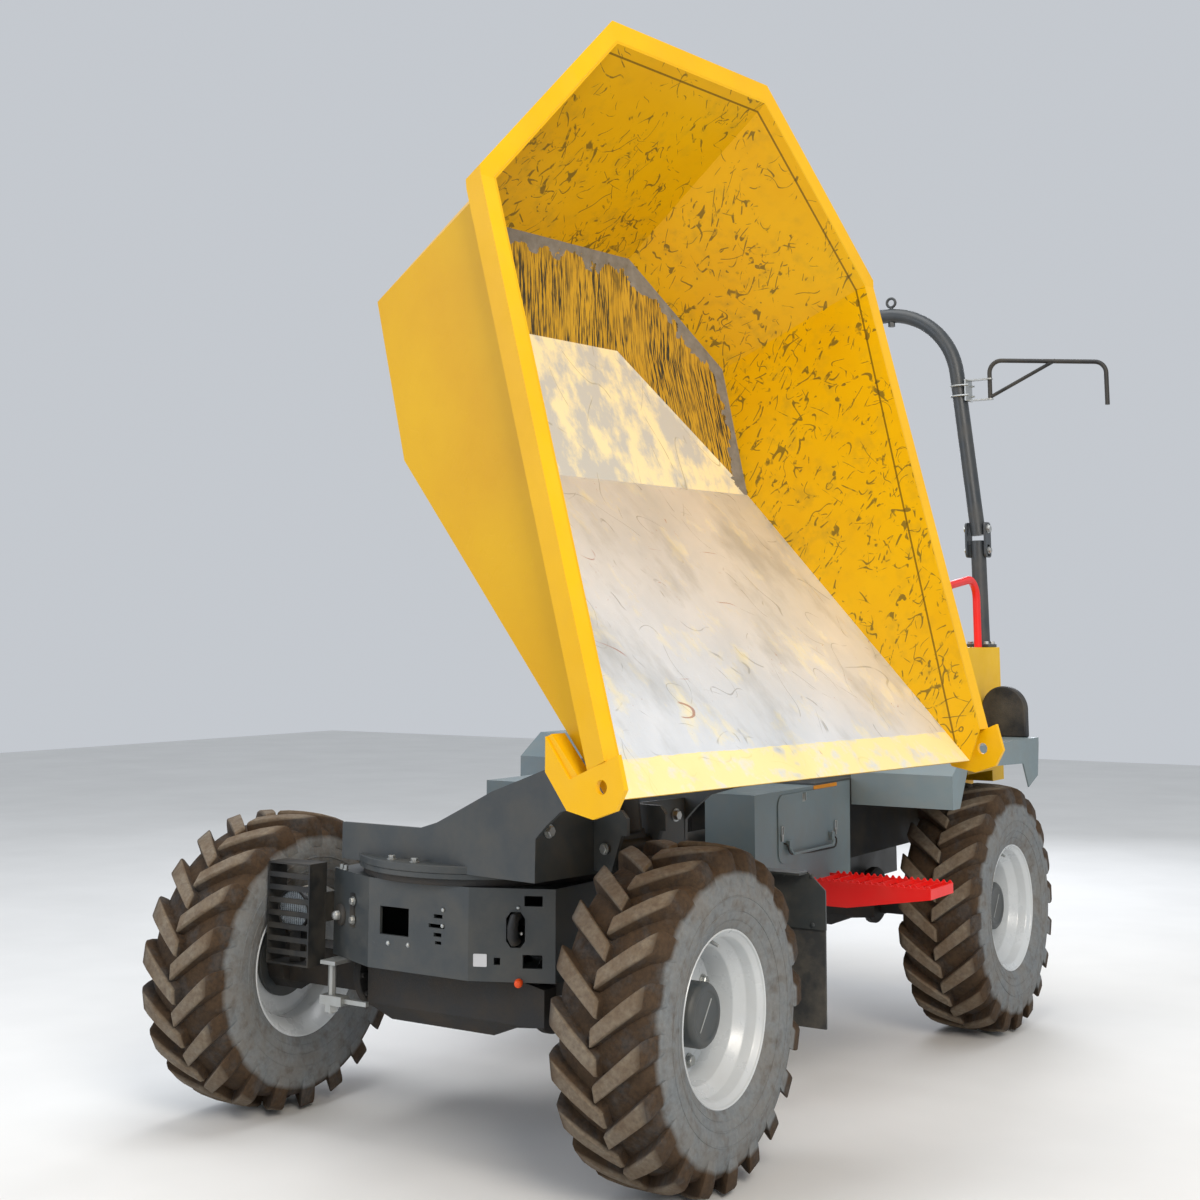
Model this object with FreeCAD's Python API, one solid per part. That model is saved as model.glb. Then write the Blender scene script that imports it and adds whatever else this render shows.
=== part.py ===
import FreeCAD, Part
import math
import os

from FreeCAD import Placement, Rotation, Vector

# Site dumper with a swivelling skip. Millimetres, +Z up, +X to the machine's left, -Y to its front.
# The pieces are built with the front axle at y = 0 and the ground at z = 0. As they are saved, they are
# moved sideways until the middle of the whole machine stands over the origin.

# Running gear
wheelbase = 2050.0
track = 1390.0
axle_height = 418.0
tyre_side_radius = 290.0
tyre_shoulder_radius = 374.0
tyre_width = 292.0
wheel_sides = 16
lugs_per_side = 20
lug_width = 38.0
lug_angle = 38.0
bead_radius = 200.0
rim_half_width = 125.0
rim_flange_radius = 213.0
rim_well_radius = 166.0
disc_plane = -25.0
disc_thickness = 10.0
hub_radius = 80.0
hub_nose = 62.0
hub_flange_radius = 110.0
hub_flange_thickness = 15.0
hub_sides = 12
ring_sides = 32
pipe_sides = 8
axle_tube = 104.0
seat_gap = 0.3
moving_gap = 5.0

# Centre pivot between the two chassis
pivot_y = 950.0
pivot_pin_radius = 30.0
knuckle_radius = 80.0
knuckle_bottom = 500.0
knuckle_top = 620.0
fork_plate = 27.0
pin_clearance = 0.05

# Front chassis
deck_top = 704.0
belly = 470.0
plate = 10.0
nose_y = -200.0
nose_half_width = 170.0
shoulder_y = -106.0
frame_half_width = 380.0
frame_rear_y = 400.0
neck_y = 560.0
neck_half_width = 90.0

# Slewing ring and swivel console, in the console's own frame: x forward, y across, centre on the ring
ring_y = 130.0
ring_outer = 360.0
ring_inner = 290.0
ring_half_height = 18.0
swivel_deg = 82.13
console_floor = 757.0
console_plate = 20.0
console_rear = -286.0
console_front = 455.0
cheek_face = 310.0
cheek_plate = 12.0
console_front_top = 905.0
tip_u = 740.0
tip_z = 1020.0
tip_boss = 55.0
tip_pin_radius = 20.0

# Skip, in its own frame: x forward from the lip's edge, y across, z up from the lip's edge, skip level
tip_deg = 67.0
skip_plate = 6.0
lip_half_width = 755.0
wall_flare = 0.145
lip_to_pivot = 146.5
lip_over_pivot = 324.6
floor_run = 984.0
floor_drop = 350.0
bottom_end = 1437.0
bottom_half_width = 275.0
corner_run = 1393.0
corner_drop = 283.0
tail_run = 1712.0
tail_drop = 242.0
tail_half_width = 360.0
rim_front_run = 67.0
rim_front_rise = 60.0
rim_side_run = 1404.0
rim_side_rise = 245.0
rim_tail_run = 1839.0
rim_tail_rise = 400.0
rim_flange = 50.0
rim_skirt = 60.0
ear_plate = 12.0
ear_hole_radius = 15.0

# Tipping cylinders: base pin on the console, upper eye on the skip
ram_u = 500.0
ram_z = 805.0
ram_eye_run = 846.5
ram_eye_drop = 404.6
ram_ear_half = 85.5
ram_barrel_radius = 42.0
ram_rod_radius = 24.0
ram_pin_radius = 15.0
ram_barrel_length = 440.0
ram_overlap = 35.0
ram_lug = 12.0

# Steering cylinder
steer_x = 140.0
steer_base_y = 1330.0
steer_eye_y = 600.0
steer_z = 700.0
steer_barrel_radius = 30.0
steer_rod_radius = 14.0
steer_barrel_length = 520.0

# Rear chassis and operator's place
rail_inner = 200.0
rail_outer = 270.0
rail_bottom = 470.0
rail_top = 600.0
rail_front_y = 1080.0
tail_y = 2330.0
box_inner = 330.0
box_outer = 500.0
box_front_y = 760.0
box_rear_y = 1430.0
box_bottom = 570.0
deck_level = 880.0
sheet = 5.0
fender_inner = 500.0
fender_outer = 855.0
fender_front_y = 1440.0
fender_rear_y = 2330.0
fender_top = 988.0
casing_outer = 660.0
casing_inner = 545.0
casing_front_y = 2080.0
casing_rear_y = 2450.0
casing_top = 1310.0
casing_bottom = 860.0
tail_bottom = 640.0
hood_hinge_inset = 16.0
hood_pin_radius = 6.0
rops_tube_radius = 28.5
rops_inset = 30.0
rops_base_half = 605.0
rops_joint_z = 1760.0
rops_joint_half = 600.0
rops_lean = 0.104
rops_top_z = 2660.0
rops_bend = 290.0
rops_y = casing_rear_y - rops_inset

# The clear width between the front tyres, halved
tyre_inner = (track - tyre_width) / 2


def box(x0, x1, y0, y1, z0, z1):
    return Part.makeBox(x1 - x0, y1 - y0, z1 - z0, Vector(x0, y0, z0))


def rod(radius, start, end):
    """A round bar between two points."""
    way = end - start
    return Part.makeCylinder(radius, way.Length, start, way)


def prism(corners, along, low, high):
    """A flat outline carried along one axis: its corners are the two other coordinates, in X, Y, Z order."""
    if along == "x":
        points = [Vector(low, a, b) for a, b in corners]
        way = Vector(high - low, 0, 0)
    elif along == "y":
        points = [Vector(a, low, b) for a, b in corners]
        way = Vector(0, high - low, 0)
    else:
        points = [Vector(a, b, low) for a, b in corners]
        way = Vector(0, 0, high - low)
    return Part.Face(Part.makePolygon(points + points[:1])).extrude(way)


def mirrored(shape):
    """The same shape on the other side of the machine."""
    return shape.mirror(Vector(0, 0, 0), Vector(1, 0, 0))


def across(shape):
    """The same shape on the other side of the console or skip."""
    return shape.mirror(Vector(0, 0, 0), Vector(0, 1, 0))


def fused(shapes):
    whole = shapes[0]
    if len(shapes) > 1:
        whole = shapes[0].multiFuse(shapes[1:])
    return whole.removeSplitter()


def group(shapes):
    return Part.makeCompound(shapes)


def rounded_path(points, bend, chords):
    """The corners of a path with each inner corner rounded by a few straight chords."""
    path = [points[0]]
    for before, corner, after in zip(points, points[1:], points[2:]):
        into = (corner - before).normalize()
        out = (after - corner).normalize()
        turn = into.getAngle(out)
        back = bend * math.tan(turn / 2)
        inward = (out - into).normalize()
        centre = corner + inward * (bend / math.cos(turn / 2))
        start = (corner - into * back) - centre
        axis = into.cross(out).normalize()
        for k in range(chords + 1):
            spun = Rotation(axis, math.degrees(turn) * k / chords).multVec(start)
            path.append(centre + spun)
    path.append(points[-1])
    return path


def bent_tube(points, bend, radius, sides=pipe_sides, chords=3):
    """A bar with flat sides along a rounded path, each run mitred to the next."""
    path = rounded_path(points, bend, chords)
    way = (path[1] - path[0]).normalize()
    lay = Rotation(Vector(0, 0, 1), way)
    # The flats' corners lie a little outside the round bar that they stand for
    corner = radius / math.sqrt(math.cos(math.pi / sides))
    rings = [[path[0] + lay.multVec(Vector(corner * math.cos(2 * math.pi * k / sides),
                                           corner * math.sin(2 * math.pi * k / sides), 0))
              for k in range(sides)]]
    for here, there, beyond in zip(path, path[1:], path[2:] + [None]):
        way = (there - here).normalize()
        normal = way
        if beyond is not None:
            normal = (way + (beyond - there).normalize()).normalize()
        rings.append([p + way * ((there - p).dot(normal) / way.dot(normal)) for p in rings[-1]])
    faces = [Part.Face(Part.makePolygon(ring + ring[:1])) for ring in (rings[0], rings[-1])]
    for low, high in zip(rings, rings[1:]):
        for k in range(sides):
            quad = [low[k], low[k - 1], high[k - 1], high[k]]
            faces.append(Part.Face(Part.makePolygon(quad + quad[:1])))
    solid = Part.Solid(Part.Shell(faces))
    if solid.Volume < 0:
        solid.reverse()
    return solid


def flat_round(radius, start, end, sides):
    """A bar with flat sides between two points, its corners on a circle of the radius."""
    way = end - start
    lay = Rotation(Vector(0, 0, 1), way)
    points = [start + lay.multVec(Vector(radius * math.cos(2 * math.pi * k / sides),
                                         radius * math.sin(2 * math.pi * k / sides), 0))
              for k in range(sides)]
    return Part.Face(Part.makePolygon(points + points[:1])).extrude(way)


def upright(solid):
    """A ring made about the X axis turned to stand about Z."""
    turned = solid.copy()
    turned.rotate(Vector(0, 0, 0), Vector(0, 1, 0), -90)
    return turned


def ring_of_flats(profile, sides):
    """A ring about the X axis with flat sides; profile is a closed list of (x, radius)."""
    step = 2 * math.pi / sides
    faces = []
    for (xa, ra), (xb, rb) in zip(profile, profile[1:] + profile[:1]):
        for k in range(sides):
            quad = []
            for x, r, turn in ((xa, ra, k), (xb, rb, k), (xb, rb, k + 1), (xa, ra, k + 1)):
                quad.append(Vector(x, r * math.cos(turn * step), r * math.sin(turn * step)))
            faces.append(Part.Face(Part.makePolygon(quad + quad[:1])))
    solid = Part.Solid(Part.Shell(faces))
    if solid.Volume < 0:
        solid.reverse()
    return solid


def tyre():
    """A tractor-pattern tyre about the X axis, its chevrons pointing the way it rolls."""
    half = tyre_width / 2
    seat = rim_half_width - 13
    shoulder = half - 24
    side = [(seat, bead_radius), (half, tyre_side_radius), (shoulder, tyre_shoulder_radius)]
    profile = side + [(-x, r) for x, r in reversed(side)]
    body = ring_of_flats(profile, wheel_sides)
    return fused([body] + lugs())


def lugs():
    """Slanted bars, half a pitch apart on the two sides, each a straight bar from mid-tread to shoulder."""
    slant = math.radians(lug_angle)
    inner, outer = -10.0, tyre_width / 2 - 12
    half_length = (outer - inner) / 2 / math.cos(slant)
    reach = half_length * math.sin(slant) + lug_width / 2 * math.cos(slant)
    crown = math.sqrt(axle_height ** 2 - reach ** 2)
    # The first bar is turned so that one lug's tip is the tyre's lowest point
    start_turn = 90 - math.degrees(math.atan2(reach, crown))
    # Along the bar and out from the axle
    outline = [
        (-half_length, crown - 45),
        (-half_length, crown),
        (half_length - 8, crown - 20),
        (half_length, crown - 92),
    ]
    bars = []
    pitch = 360.0 / lugs_per_side
    for side in (1, -1):
        along = Vector(side * math.cos(slant), 0, math.sin(slant))
        aside = Vector(-side * math.sin(slant), 0, math.cos(slant))
        middle = Vector(side * (inner + outer) / 2, 0, 0)
        start = middle - aside * (lug_width / 2)
        points = [start + along * t + Vector(0, -1, 0) * r for t, r in outline]
        bar = Part.Face(Part.makePolygon(points + points[:1])).extrude(aside * lug_width)
        for k in range(lugs_per_side):
            turned = bar.copy()
            turn = start_turn + pitch * (k + (0 if side > 0 else 0.5))
            turned.rotate(Vector(0, 0, 0), Vector(1, 0, 0), turn)
            bars.append(turned)
    return bars


def rim():
    """A dished steel rim with its disc, open side outwards along +X."""
    edge, seat, flange = rim_half_width, bead_radius - seat_gap, rim_flange_radius
    well = rim_well_radius + 8
    profile = [
        (edge, flange), (edge - 7, flange), (edge - 12, seat), (70, seat), (50, well), (-70, well),
        (-90, seat), (12 - edge, seat), (7 - edge, flange), (-edge, flange), (-72, rim_well_radius),
        (52, rim_well_radius), (78, 190), (edge, flange - 6),
    ]
    ring = ring_of_flats(profile, wheel_sides)
    disc = ring_of_flats([
        (disc_plane, rim_well_radius + 4), (disc_plane, hub_radius + 4),
        (disc_plane + disc_thickness, hub_radius + 4), (disc_plane + disc_thickness, rim_well_radius + 4),
    ], wheel_sides)
    return fused([ring, disc])


def hub():
    """The planetary hub's end: a flange behind the disc and a round nose through it."""
    back = disc_plane - hub_flange_thickness
    outer = [
        (back, hub_flange_radius), (disc_plane, hub_flange_radius), (disc_plane, hub_radius),
        (hub_nose, hub_radius), (hub_nose + 8, hub_radius - 12),
    ]
    core = 20.0
    profile = [(back, core)] + outer + [(hub_nose + 8, core)]
    ring = ring_of_flats(profile, hub_sides)
    return fused([ring, rod(core + 5, Vector(back, 0, 0), Vector(hub_nose + 11, 0, 0))])


def axle(y):
    """A rigid axle: a square tube, a cast housing in the middle and round ends behind the hubs."""
    reach = track / 2 + disc_plane - hub_flange_thickness - seat_gap
    half = axle_tube / 2
    tube = box(-reach + 30, reach - 30, y - half, y + half, axle_height - half, axle_height + half)
    low, top = axle_height - 108, belly - seat_gap
    # Across the machine and up
    casting = prism([(-250, low + 40), (-190, low), (160, low), (240, low + 34), (345, low + 46),
                     (345, top - 20), (240, top), (-250, top)], "y", y - 105, y + 105)
    # Along the machine and up: the casting's lower edges are cut off at front and rear
    bevels = [prism([(y + way * 106, low - 1), (y + way * 70, low - 1), (y + way * 106, low + 45)],
                    "x", -400, 400) for way in (1, -1)]
    casting = casting.cut(bevels[0]).cut(bevels[1])
    ends = []
    for side in (1, -1):
        start = Vector(side * (reach - 60), y, axle_height)
        ends.append(flat_round(85, start, Vector(side * reach, y, axle_height), hub_sides))
    return fused([tube, casting] + ends)


def deck_outline(inset):
    """The front chassis seen from above, its nose folded back at the sides."""
    half, nose, neck = frame_half_width - inset, nose_half_width - inset / 2, neck_half_width - inset
    right = [(nose, nose_y + inset), (half, shoulder_y + inset), (half, frame_rear_y - inset / 2),
             (neck, neck_y - inset / 2), (neck, pivot_y - knuckle_radius)]
    return right + [(-x, y) for x, y in reversed(right)]


def on_shoulder(shape):
    """From the left nose shoulder's frame, x along it from the nose's corner and y inwards, to the machine's."""
    turn = math.degrees(math.atan2(shoulder_y - nose_y, frame_half_width - nose_half_width))
    moved = shape.copy()
    moved.Placement = Placement(Vector(nose_half_width, nose_y, 0), Rotation(Vector(0, 0, 1), turn))
    return moved


def nose_openings():
    """What is cut through the nose plate and its left shoulder."""
    back = nose_y + plate + 5
    # Across the machine and up: one access hole and four slots one above the other
    windows = [(-130, -30, 560, 633), (38, 91, 592, 602), (55, 84, 617, 627), (55, 81, 570, 580),
               (60, 81, 551, 559)]
    cuts = [box(x0, x1, nose_y - 5, back, z0, z1) for x0, x1, z0, z1 in windows]
    for s0, s1, z0, z1 in [(148, 196, 660, 686), (144, 196, 505, 539), (68, 85, 512, 530)]:
        cuts.append(on_shoulder(box(s0, s1, -5, plate + 5, z0, z1)))
    oval = [(100, 572), (112, 556), (138, 556), (150, 572), (150, 629), (138, 645), (112, 645), (100, 629)]
    cuts.append(on_shoulder(prism(oval, "y", -5, plate + 5)))
    return cuts


def front_frame():
    """The box-shaped front chassis with its folded nose plate, its neck and the pivot's knuckle."""
    shell = prism(deck_outline(0), "z", belly, deck_top)
    room = prism(deck_outline(plate), "z", belly + plate, deck_top - plate)
    shell = shell.cut(room)
    lowered = box(-neck_half_width - 60, neck_half_width + 60, neck_y, pivot_y, knuckle_top, deck_top + 1)
    raised = box(-neck_half_width - 60, neck_half_width + 60, neck_y, pivot_y, belly - 1, knuckle_bottom)
    shell = shell.cut(lowered).cut(raised)
    neck = box(-neck_half_width, neck_half_width, neck_y - 20, pivot_y - 40, knuckle_bottom, knuckle_top)
    knuckle = flat_round(knuckle_radius, Vector(0, pivot_y, knuckle_bottom), Vector(0, pivot_y, knuckle_top),
                         wheel_sides)
    bore = rod(pivot_pin_radius + pin_clearance, Vector(0, pivot_y, belly), Vector(0, pivot_y, deck_top))
    whole = fused([shell, neck, knuckle])
    for opening in nose_openings():
        whole = whole.cut(opening)
    whole = whole.cut(bore)
    lug_floor = steer_z - steer_rod_radius - 16
    lug = prism([(neck_half_width - 40, steer_eye_y - 25), (steer_x + 28, steer_eye_y - 25),
                 (steer_x + 28, steer_eye_y + 25), (neck_half_width - 40, steer_eye_y + 25)],
                "z", 0, plate)
    lower = lug.translated(Vector(0, 0, lug_floor - plate))
    upper = lug.translated(Vector(0, 0, 2 * steer_z - lug_floor))
    post = box(neck_half_width - 40, neck_half_width - 20, steer_eye_y - 25, steer_eye_y + 25,
               knuckle_top - 5, 2 * steer_z - lug_floor + plate)
    return fused([whole, lower, upper, post])


def flat_ring(outer, inner, low, high, sides=ring_sides):
    """A flat ring about Z with many flat sides."""
    return upright(ring_of_flats([(low, outer), (high, outer), (high, inner), (low, inner)], sides))


def slew_ring():
    ring = flat_ring(ring_outer, ring_inner, deck_top, deck_top + ring_half_height)
    return ring.translated(Vector(0, ring_y, 0))


def lamp_guard():
    """The slatted cage in front of a headlamp, on the machine's right."""
    x0, x1 = -tyre_inner + 9, -frame_half_width - 3
    y0, y1 = nose_y - 5, nose_y + 65
    z0, z1 = 445, 722
    pieces = [box(x0, x0 + 5, y0, y1, z0, z1), box(x1 - 5, x1, y0, y1, z0, z1),
              box(x0, x1, y0, y1, z1 - 5, z1), box(x0, x1, y0, y1, z0, z0 + 5)]
    slats = 7
    pitch = (z1 - z0) / (slats + 1)
    for k in range(slats):
        z = z0 + pitch * (k + 1)
        pieces.append(box(x0, x1, y0, y0 + 8, z - 7, z + 7))
    arm = box(x1 - 6, -frame_half_width - seat_gap, y1 - 8, shoulder_y + 60, 560, 640)
    return fused(pieces + [arm])


def head_lamp():
    x = -(tyre_inner + frame_half_width) / 2
    body = flat_round(58, Vector(x, nose_y + 16, 590), Vector(x, nose_y + 56, 590), hub_sides)
    foot = box(x - 20, x + 20, nose_y + 30, nose_y + 50, 450 + seat_gap, 540)
    return fused([body, foot])


def mudguard():
    """The plate behind a front wheel with its arm to the chassis, left side."""
    y = 500.0
    sheet_part = prism([(600, 560), (853, 560), (853, 664), (800, 712), (600, 712)], "y", y, y + 6)
    lip = prism([(600, 706), (800, 706), (800, 712), (600, 712)], "y", y - 50, y + 6)
    arm = box(neck_half_width, 640, y - 32, y, 620, 660)
    arm = arm.cut(prism(deck_outline(-seat_gap), "z", belly, deck_top))
    return fused([sheet_part, lip, arm])


def mud_flap():
    y = 506.0 + seat_gap
    return prism([(735, 300), (845, 300), (848, 600), (738, 600)], "y", y, y + 8)


def tow_pin():
    """The lashing pin that hangs in front of the front chassis' right corner, on a plate under the belly."""
    x, y = 62 - frame_half_width, nose_y + 24
    top = belly - seat_gap
    plate_part = box(x - 27, x + 27, y - 20, y + 80, top - plate, top)
    pin = flat_round(11, Vector(x, y, 330), Vector(x, y, top), pipe_sides)
    foot = box(x - 29, x + 48, y - 17, y + 17, 353, 378)
    bar = box(x + 40, x + 128, y - 6, y + 6, 360, 372)
    nut = flat_round(19, Vector(x, y, 334), Vector(x, y, 353), 6)
    return fused([plate_part, pin, foot, bar, nut])


def in_console(shape):
    """From the console's own frame to the machine's."""
    moved = shape.copy()
    turn = Rotation(Vector(0, 0, 1), swivel_deg - 90)
    moved.Placement = Placement(Vector(0, ring_y, 0), turn).multiply(moved.Placement)
    return moved


def console_base():
    """The round and square floor plate on the ring's turning half."""
    ring_top = console_floor - console_plate
    ring_floor = deck_top + ring_half_height + seat_gap
    turning = flat_ring(ring_outer + 12, ring_inner, ring_floor, ring_top)
    half = cheek_face
    floor = fused([flat_round(ring_outer + 16, Vector(0, 0, ring_top), Vector(0, 0, console_floor),
                              ring_sides),
                   box(console_rear, console_front, -half, half, ring_top, console_floor)])
    hole = flat_round(90, Vector(0, 0, ring_top), Vector(0, 0, console_floor), hub_sides)
    return in_console(fused([turning, floor.cut(hole)]))


def cheek_outline():
    """One side plate of the console: along the skip's way and up."""
    head = tip_boss
    return [(console_rear, console_floor), (455, console_floor), (457, 846), (494, 881), (541, 917),
            (690, tip_z - 62), (tip_u, tip_z - head), (tip_u + 40, tip_z - 38), (tip_u + head, tip_z),
            (tip_u + 40, tip_z + 38), (tip_u, tip_z + head), (680, 1070), (485, 1017), (402, 988),
            (300, 953), (195, 905), (97, 861), (31, 842), (console_rear, 836)]


def console_cheeks():
    """The two side plates with the skip's pins, and the front plate with the cylinder's gap and a slot."""
    low, high = cheek_face - cheek_plate, cheek_face
    cheek = prism(cheek_outline(), "y", low, high)
    front_x = console_front - plate
    pin = flat_round(tip_pin_radius, Vector(tip_u, low - 32, tip_z), Vector(tip_u, high + 8, tip_z), wheel_sides)
    front = box(front_x, console_front, -low, low, console_floor, console_front_top)
    # The lowered cylinder lies in this gap
    gap_half = ram_ear_half - ram_lug
    gap = box(front_x - 1, console_front + 1, -gap_half, gap_half, console_floor + 13, console_front_top + 1)
    # Across the console and up
    slot = prism([(130, 778), (175, 778), (175, 862), (165, 872), (140, 872), (130, 862)], "x",
                 front_x - 1, console_front + 1)
    return in_console(fused([cheek, across(cheek), pin, across(pin), front.cut(gap).cut(slot)]))


def ram_ears():
    """The two ears with the tipping cylinder's pin, on the console's front plate."""
    front_x = console_front + seat_gap
    # The ears' outer ends stay above the front tyres, which they swing over
    over_tyre = 2 * axle_height + moving_gap
    outline = [(front_x, console_floor - 12), (ram_u + 15, console_floor - 12), (ram_u + 50, over_tyre),
               (ram_u + 68, over_tyre), (ram_u + 68, 885), (ram_u + 48, console_front_top),
               (front_x, console_front_top)]
    ear = prism(outline, "y", ram_ear_half - ram_lug, ram_ear_half)
    reach = ram_ear_half + 10
    pin = flat_round(ram_pin_radius, Vector(ram_u, -reach, ram_z), Vector(ram_u, reach, ram_z), hub_sides)
    return in_console(fused([ear, across(ear), pin]))


def in_skip(shape):
    """From the level skip's own frame to the raised skip on the console."""
    moved = shape.copy()
    level = Placement(Vector(tip_u + lip_to_pivot, 0, tip_z + lip_over_pivot), Rotation())
    raise_it = Placement(Vector(0, 0, 0), Rotation(Vector(0, 1, 0), tip_deg), Vector(tip_u, 0, tip_z))
    moved.Placement = raise_it.multiply(level).multiply(moved.Placement)
    return in_console(moved)


def wall_half_width(rise):
    return lip_half_width + wall_flare * rise


def skip_corners():
    """The inside corners of the left half: run back from the lip, half width, rise."""
    return {
        "lip": (0.0, wall_half_width(0), 0.0),
        "bend": (floor_run, wall_half_width(-floor_drop), -floor_drop),
        "bottom": (bottom_end, bottom_half_width, -floor_drop),
        "corner": (corner_run, wall_half_width(-corner_drop), -corner_drop),
        "tail": (tail_run, tail_half_width, -tail_drop),
        "side_rim": (rim_side_run, wall_half_width(rim_side_rise), rim_side_rise),
        "tail_rim": (rim_tail_run, 0.0, rim_tail_rise),
    }


def skip_bowl(offset):
    """The skip's hollow as a solid, its walls moved outwards by offset and its mouth still closed."""
    corner = skip_corners()
    # Each wall goes through three corners
    walls = [("lip", "bend", "side_rim"), ("bottom", "bend", "corner"), ("bottom", "corner", "tail"),
             ("corner", "side_rim", "tail")]
    whole = box(-rim_tail_run - 400, 0, -1200, 1200, -900, 900)
    inside = Vector(-900, 0, 0)

    def trimmed(solid, points):
        first, second, third = points
        normal = (second - first).cross(third - first).normalize()
        if normal.dot(first - inside) < 0:
            normal = normal * -1
        size = 4000.0
        waste = box(-size, size, -size, size, 0, size)
        waste.Placement = Placement(first + normal * offset, Rotation(Vector(0, 0, 1), normal))
        return solid.cut(waste)

    for names in walls:
        for side in (1, -1):
            points = [Vector(-corner[n][0], side * corner[n][1], corner[n][2]) for n in names]
            whole = trimmed(whole, points)
    # The walls that cross from side to side go through two corners
    for low, high in (("lip", "bend"), ("bend", "bottom"), ("bottom", "tail"), ("tail", "tail_rim")):
        points = [Vector(-corner[low][0], 500, corner[low][2]), Vector(-corner[low][0], -500, corner[low][2]),
                  Vector(-corner[high][0], 0, corner[high][2])]
        whole = trimmed(whole, points)
    return whole


def above_rim(drop):
    """Everything above the skip's rim line, lowered by drop."""
    slope = (rim_tail_rise - rim_side_rise) / (rim_tail_run - rim_side_run)
    far = rim_tail_run + 500
    line = [(0, 0), (-rim_front_run, rim_front_rise), (-rim_side_run, rim_side_rise),
            (-far, rim_side_rise + slope * (far - rim_side_run))]
    corners = [(x, z - drop) for x, z in line] + [(-far, 1500), (400, 1500), (400, -drop)]
    return prism(corners, "y", -1500, 1500)


def skip_shell():
    """The open tub: a sloping floor, a level bottom, slanted corners and walls."""
    outer = skip_bowl(skip_plate).cut(above_rim(0))
    return in_skip(outer.cut(skip_bowl(0)))


def skip_rim():
    """The rim's flat flange and its turned-down skirt, outside the walls."""
    start = box(-4000, -rim_front_run, -1500, 1500, -900, 1500)
    wide = skip_bowl(rim_flange)
    flange = wide.cut(skip_bowl(skip_plate + seat_gap)).cut(above_rim(0)).common(above_rim(skip_plate))
    skirt = wide.cut(skip_bowl(rim_flange - 5)).cut(above_rim(0)).common(above_rim(rim_skirt))
    return in_skip(fused([flange, skirt]).common(start))


def skip_ears():
    """The two plates at the lip's ends, each with a round hole."""
    face = lip_half_width + rim_flange + 5
    outline = [(-173, -80), (-105, -109), (-11, -82), (30, -20), (35, 45), (5, 85),
               (seat_gap - rim_front_run, 95),
               (seat_gap - rim_front_run, -50)]
    ear = prism(outline, "y", face - ear_plate, face)
    ear = ear.cut(rod(ear_hole_radius, Vector(-22, 0, 28), Vector(-22, 1000, 28)))
    web = prism([(-173, -80), (-105, -95), (-40, -70), (-40, -20), (-173, -66)], "y",
                lip_half_width + skip_plate + 1, face - ear_plate / 2)
    one = fused([ear, web])
    return in_skip(group([one, across(one)]))


def skip_brackets():
    """The two ribs under the skip with the tipping pivot's bores, and the lugs of the cylinder."""
    pivot = (-lip_to_pivot, -lip_over_pivot)
    mid = cheek_face - cheek_plate - moving_gap - 8
    under = -floor_drop - skip_plate
    boss = 42.0
    rib = prism([(-60, -28), (-lip_to_pivot + boss, pivot[1]), (pivot[0], pivot[1] - boss),
                 (-230, -400), (-floor_run, -430), (-1400, -420), (-1430, under), (-floor_run, under)],
                "y", mid - 8, mid + 8)
    rib = fused([rib, rod(boss, Vector(pivot[0], mid - 8, pivot[1]), Vector(pivot[0], mid + 8, pivot[1]))])
    rib = rib.cut(rod(tip_pin_radius + pin_clearance, Vector(pivot[0], 0, pivot[1]),
                      Vector(pivot[0], 400, pivot[1])))
    eye = (-ram_eye_run, -ram_eye_drop)
    pieces = [rib]
    slope = floor_drop / floor_run
    lug = prism([(eye[0] + 140, (eye[0] + 140) * slope), (eye[0] + 36, eye[1] - 20),
                 (eye[0] - 36, eye[1] - 20), (eye[0] - 110, (eye[0] - 110) * slope)],
                "y", ram_barrel_radius + moving_gap, ram_barrel_radius + moving_gap + ram_lug)
    pieces.append(lug)
    cross = box(-floor_run - 30, -floor_run + 30, -mid, mid, -430, under)
    both = fused(pieces + [across(p) for p in pieces] + [cross])
    return in_skip(both.cut(skip_bowl(skip_plate)))


def ram_ends():
    """Where the tipping cylinder's pins lie in the console's frame, the skip raised: base and eye."""
    turn = math.radians(tip_deg)
    along = lip_to_pivot - ram_eye_run
    up = lip_over_pivot - ram_eye_drop
    eye_u = tip_u + along * math.cos(turn) + up * math.sin(turn)
    eye_z = tip_z - along * math.sin(turn) + up * math.cos(turn)
    return Vector(ram_u, 0, ram_z), Vector(eye_u, 0, eye_z)


def barrel_shape(radius, rod_radius, length, eye_radius, pin, eye_half_width):
    """A cylinder's barrel along +X with its eye about Z at the origin."""
    tube = flat_round(radius, Vector(34, 0, 0), Vector(length, 0, 0), hub_sides)
    eye = flat_round(eye_radius, Vector(0, 0, -eye_half_width), Vector(0, 0, eye_half_width), hub_sides)
    neck = box(0, 40, -eye_radius + 6, eye_radius - 6, -eye_half_width, eye_half_width)
    whole = fused([tube, eye, neck])
    whole = whole.cut(flat_round(radius - 7, Vector(46, 0, 0), Vector(length - 30, 0, 0), pipe_sides))
    whole = whole.cut(Part.makeCylinder(rod_radius + pin_clearance, 60, Vector(length - 40, 0, 0),
                                        Vector(1, 0, 0)))
    return whole.cut(rod(pin + pin_clearance, Vector(0, 0, -100), Vector(0, 0, 100)))


def rod_shape(reach, length, rod_radius, eye_radius, eye_half_width):
    """A cylinder's rod along +X, its eye about Z at reach from the barrel's pin."""
    bar = Part.makeCylinder(rod_radius, length, Vector(reach - length, 0, 0), Vector(1, 0, 0))
    eye = flat_round(eye_radius, Vector(reach, 0, -eye_half_width), Vector(reach, 0, eye_half_width),
                     hub_sides)
    return fused([bar, eye])


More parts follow.
